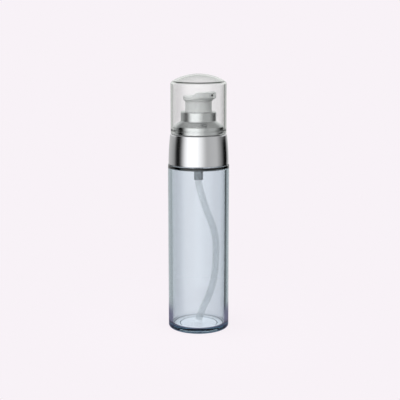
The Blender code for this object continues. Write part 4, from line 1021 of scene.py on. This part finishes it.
# Drawn spring wire: grey steel with fine die lines along it and a trace of oil, so its shine is uneven.
spring_steel = new_material("drawn_spring_steel", {"Metallic": 1.0})
give_grain(spring_steel, ("#A6A6A8", "#BCBCBE"), 0.12 * MM, 0.002 * MM, (0.22, 0.38))
spring = make_piece("return_spring_coiled", grid, spring_steel, hollow=False)
seat(spring, "pump", "return_spring")
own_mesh(spring)


# Ball cage. Disc of natural polypropylene on the chamber's floor, with a hole and two crossed slots: it
# keeps the ball in its pocket, lets the lotion by, and carries the spring.
CAGE_TOP = 105.9 * MM
CAGE_FOOT = 105.0 * MM

cage = turned_ring("ball_cage_moulded", [
    (0.7 * MM, CAGE_TOP, 0.1 * MM),
    (3.1 * MM, CAGE_TOP, 0.15 * MM),
    (3.1 * MM, CAGE_FOOT, 0.15 * MM),
    (0.7 * MM, CAGE_FOOT, 0.1 * MM),
], WIDE_STEPS, natural_polypropylene)
for turn in (0.0, math.pi / 2):
    cut(cage, box_at((0.0, 0.0, (CAGE_TOP + CAGE_FOOT) / 2), (4.0 * MM, 0.6 * MM, 2.8 * MM), turn))
seat(cage, "pump", "ball_cage")


# Check ball. Ground and polished stainless steel ball, 3 mm across, free in the pocket under the cage:
# it falls on its seat at each press and lifts when the chamber draws.
BALL_RADIUS = 1.5 * MM
BALL_HEIGHT = 102.1 * MM

angle = np.linspace(0.0, math.pi, 33)
profile = np.stack([BALL_RADIUS * np.sin(angle), BALL_HEIGHT + BALL_RADIUS * np.cos(angle)], axis=-1)
profile[[0, -1], 0] = 0.0

# Ground ball steel: nearly a mirror, with a faint haze left by the last grinding.
ball_steel = new_material("ground_ball_steel", {"Metallic": 1.0})
give_grain(ball_steel, ("#C6C7C9", "#CFD0D2"), 0.20 * MM, 0.0005 * MM, (0.06, 0.12))
ball = make_piece("check_ball_ground", revolve(profile, NARROW_STEPS), ball_steel, hollow=False)
seat(ball, "check_ball", "check_ball")


# Dip tube. Extruded milky polyethylene, 4.6 mm across with a wall of 0.65 mm. It is pushed into the
# housing's tail and bows out to the right on its way to the floor, in one plane.
TUBE_TOP = 99.64 * MM
TAIL_FOOT = 94.44 * MM
TUBE_FOOT = 4.0 * MM
TUBE_RADIUS = 2.3 * MM
TUBE_WALL = 0.65 * MM
TUBE_STEPS = 48
TUBE_BOW = np.array([11.1 * MM, 2.0 * MM])
ROUTE_SPAN_STEPS = 12
# Share of the way from the floor to the tail, and share of the bow, from the top down.
ROUTE_SHARES = (
    (1.00, 0.00), (0.96, 0.03), (0.86, 0.25), (0.765, 0.51), (0.655, 0.84), (0.56, 0.99),
    (0.47, 1.00), (0.335, 0.94), (0.24, 0.77), (0.16, 0.55), (0.08, 0.24), (0.00, 0.00),
)


def smooth_route(places, steps):
    """Catmull-Rom curve through the places: in each span, a cubic whose slope at a place is half the
    way from the place before it to the place after it."""
    ends = np.concatenate([[2 * places[0] - places[1]], places, [2 * places[-1] - places[-2]]])
    before, start, end, after = ends[:-3, None], ends[1:-2, None], ends[2:-1, None], ends[3:, None]
    t = (np.arange(steps) / steps)[None, :, None]
    spans = 0.5 * (2 * start + (end - before) * t + (2 * before - 5 * start + 4 * end - after) * t ** 2
                   + (3 * start - before - 3 * end + after) * t ** 3)
    return np.concatenate([spans.reshape(-1, places.shape[1]), places[-1:]])


drop = TAIL_FOOT - TUBE_FOOT
bow_width = np.hypot(*TUBE_BOW)
places = [(0.0, TUBE_TOP), (0.0, (TUBE_TOP + TAIL_FOOT) / 2)]
places += [(bow * bow_width, TUBE_FOOT + drop * left) for left, bow in ROUTE_SHARES]
route = smooth_route(np.array(places), ROUTE_SPAN_STEPS)
bow_direction = np.array([*TUBE_BOW / bow_width, 0.0])
up = np.array([0.0, 0.0, 1.0])
flat_side = np.cross(up, bow_direction)
middle = route[:, :1] * bow_direction + route[:, 1:] * up
run = np.gradient(middle, axis=0)
run /= np.linalg.norm(run, axis=1)[:, None]
outward = np.cross(flat_side, run)
angle = np.linspace(0.0, math.tau, TUBE_STEPS, endpoint=False)[None, :, None]
spokes = outward[:, None, :] * np.cos(angle) - flat_side * np.sin(angle)
outside = middle[:, None, :] + spokes * TUBE_RADIUS
inside = middle[:, None, :] + spokes * (TUBE_RADIUS - TUBE_WALL)
grid = np.concatenate([outside, inside[::-1]])

# Milky polyethylene, extruded: cloudy, so it glows with what is behind it, with the die's fine lines
# along it, drawn at 0.5 mm to show.
milky_polyethylene = new_material("extruded_milky_polyethylene", {
    "IOR": 1.51, "Transmission Weight": 0.25, "Alpha": 0.18})
give_grain(milky_polyethylene, ("#EAF0F5", "#F2F6F9"), 0.5 * MM, 0.006 * MM, (0.36, 0.44),
           stretch=(1.0, 1.0, 0.05))
tube = make_piece("dip_tube_extruded", grid, milky_polyethylene, hollow=True)
seat(tube, "pump", "dip_tube")
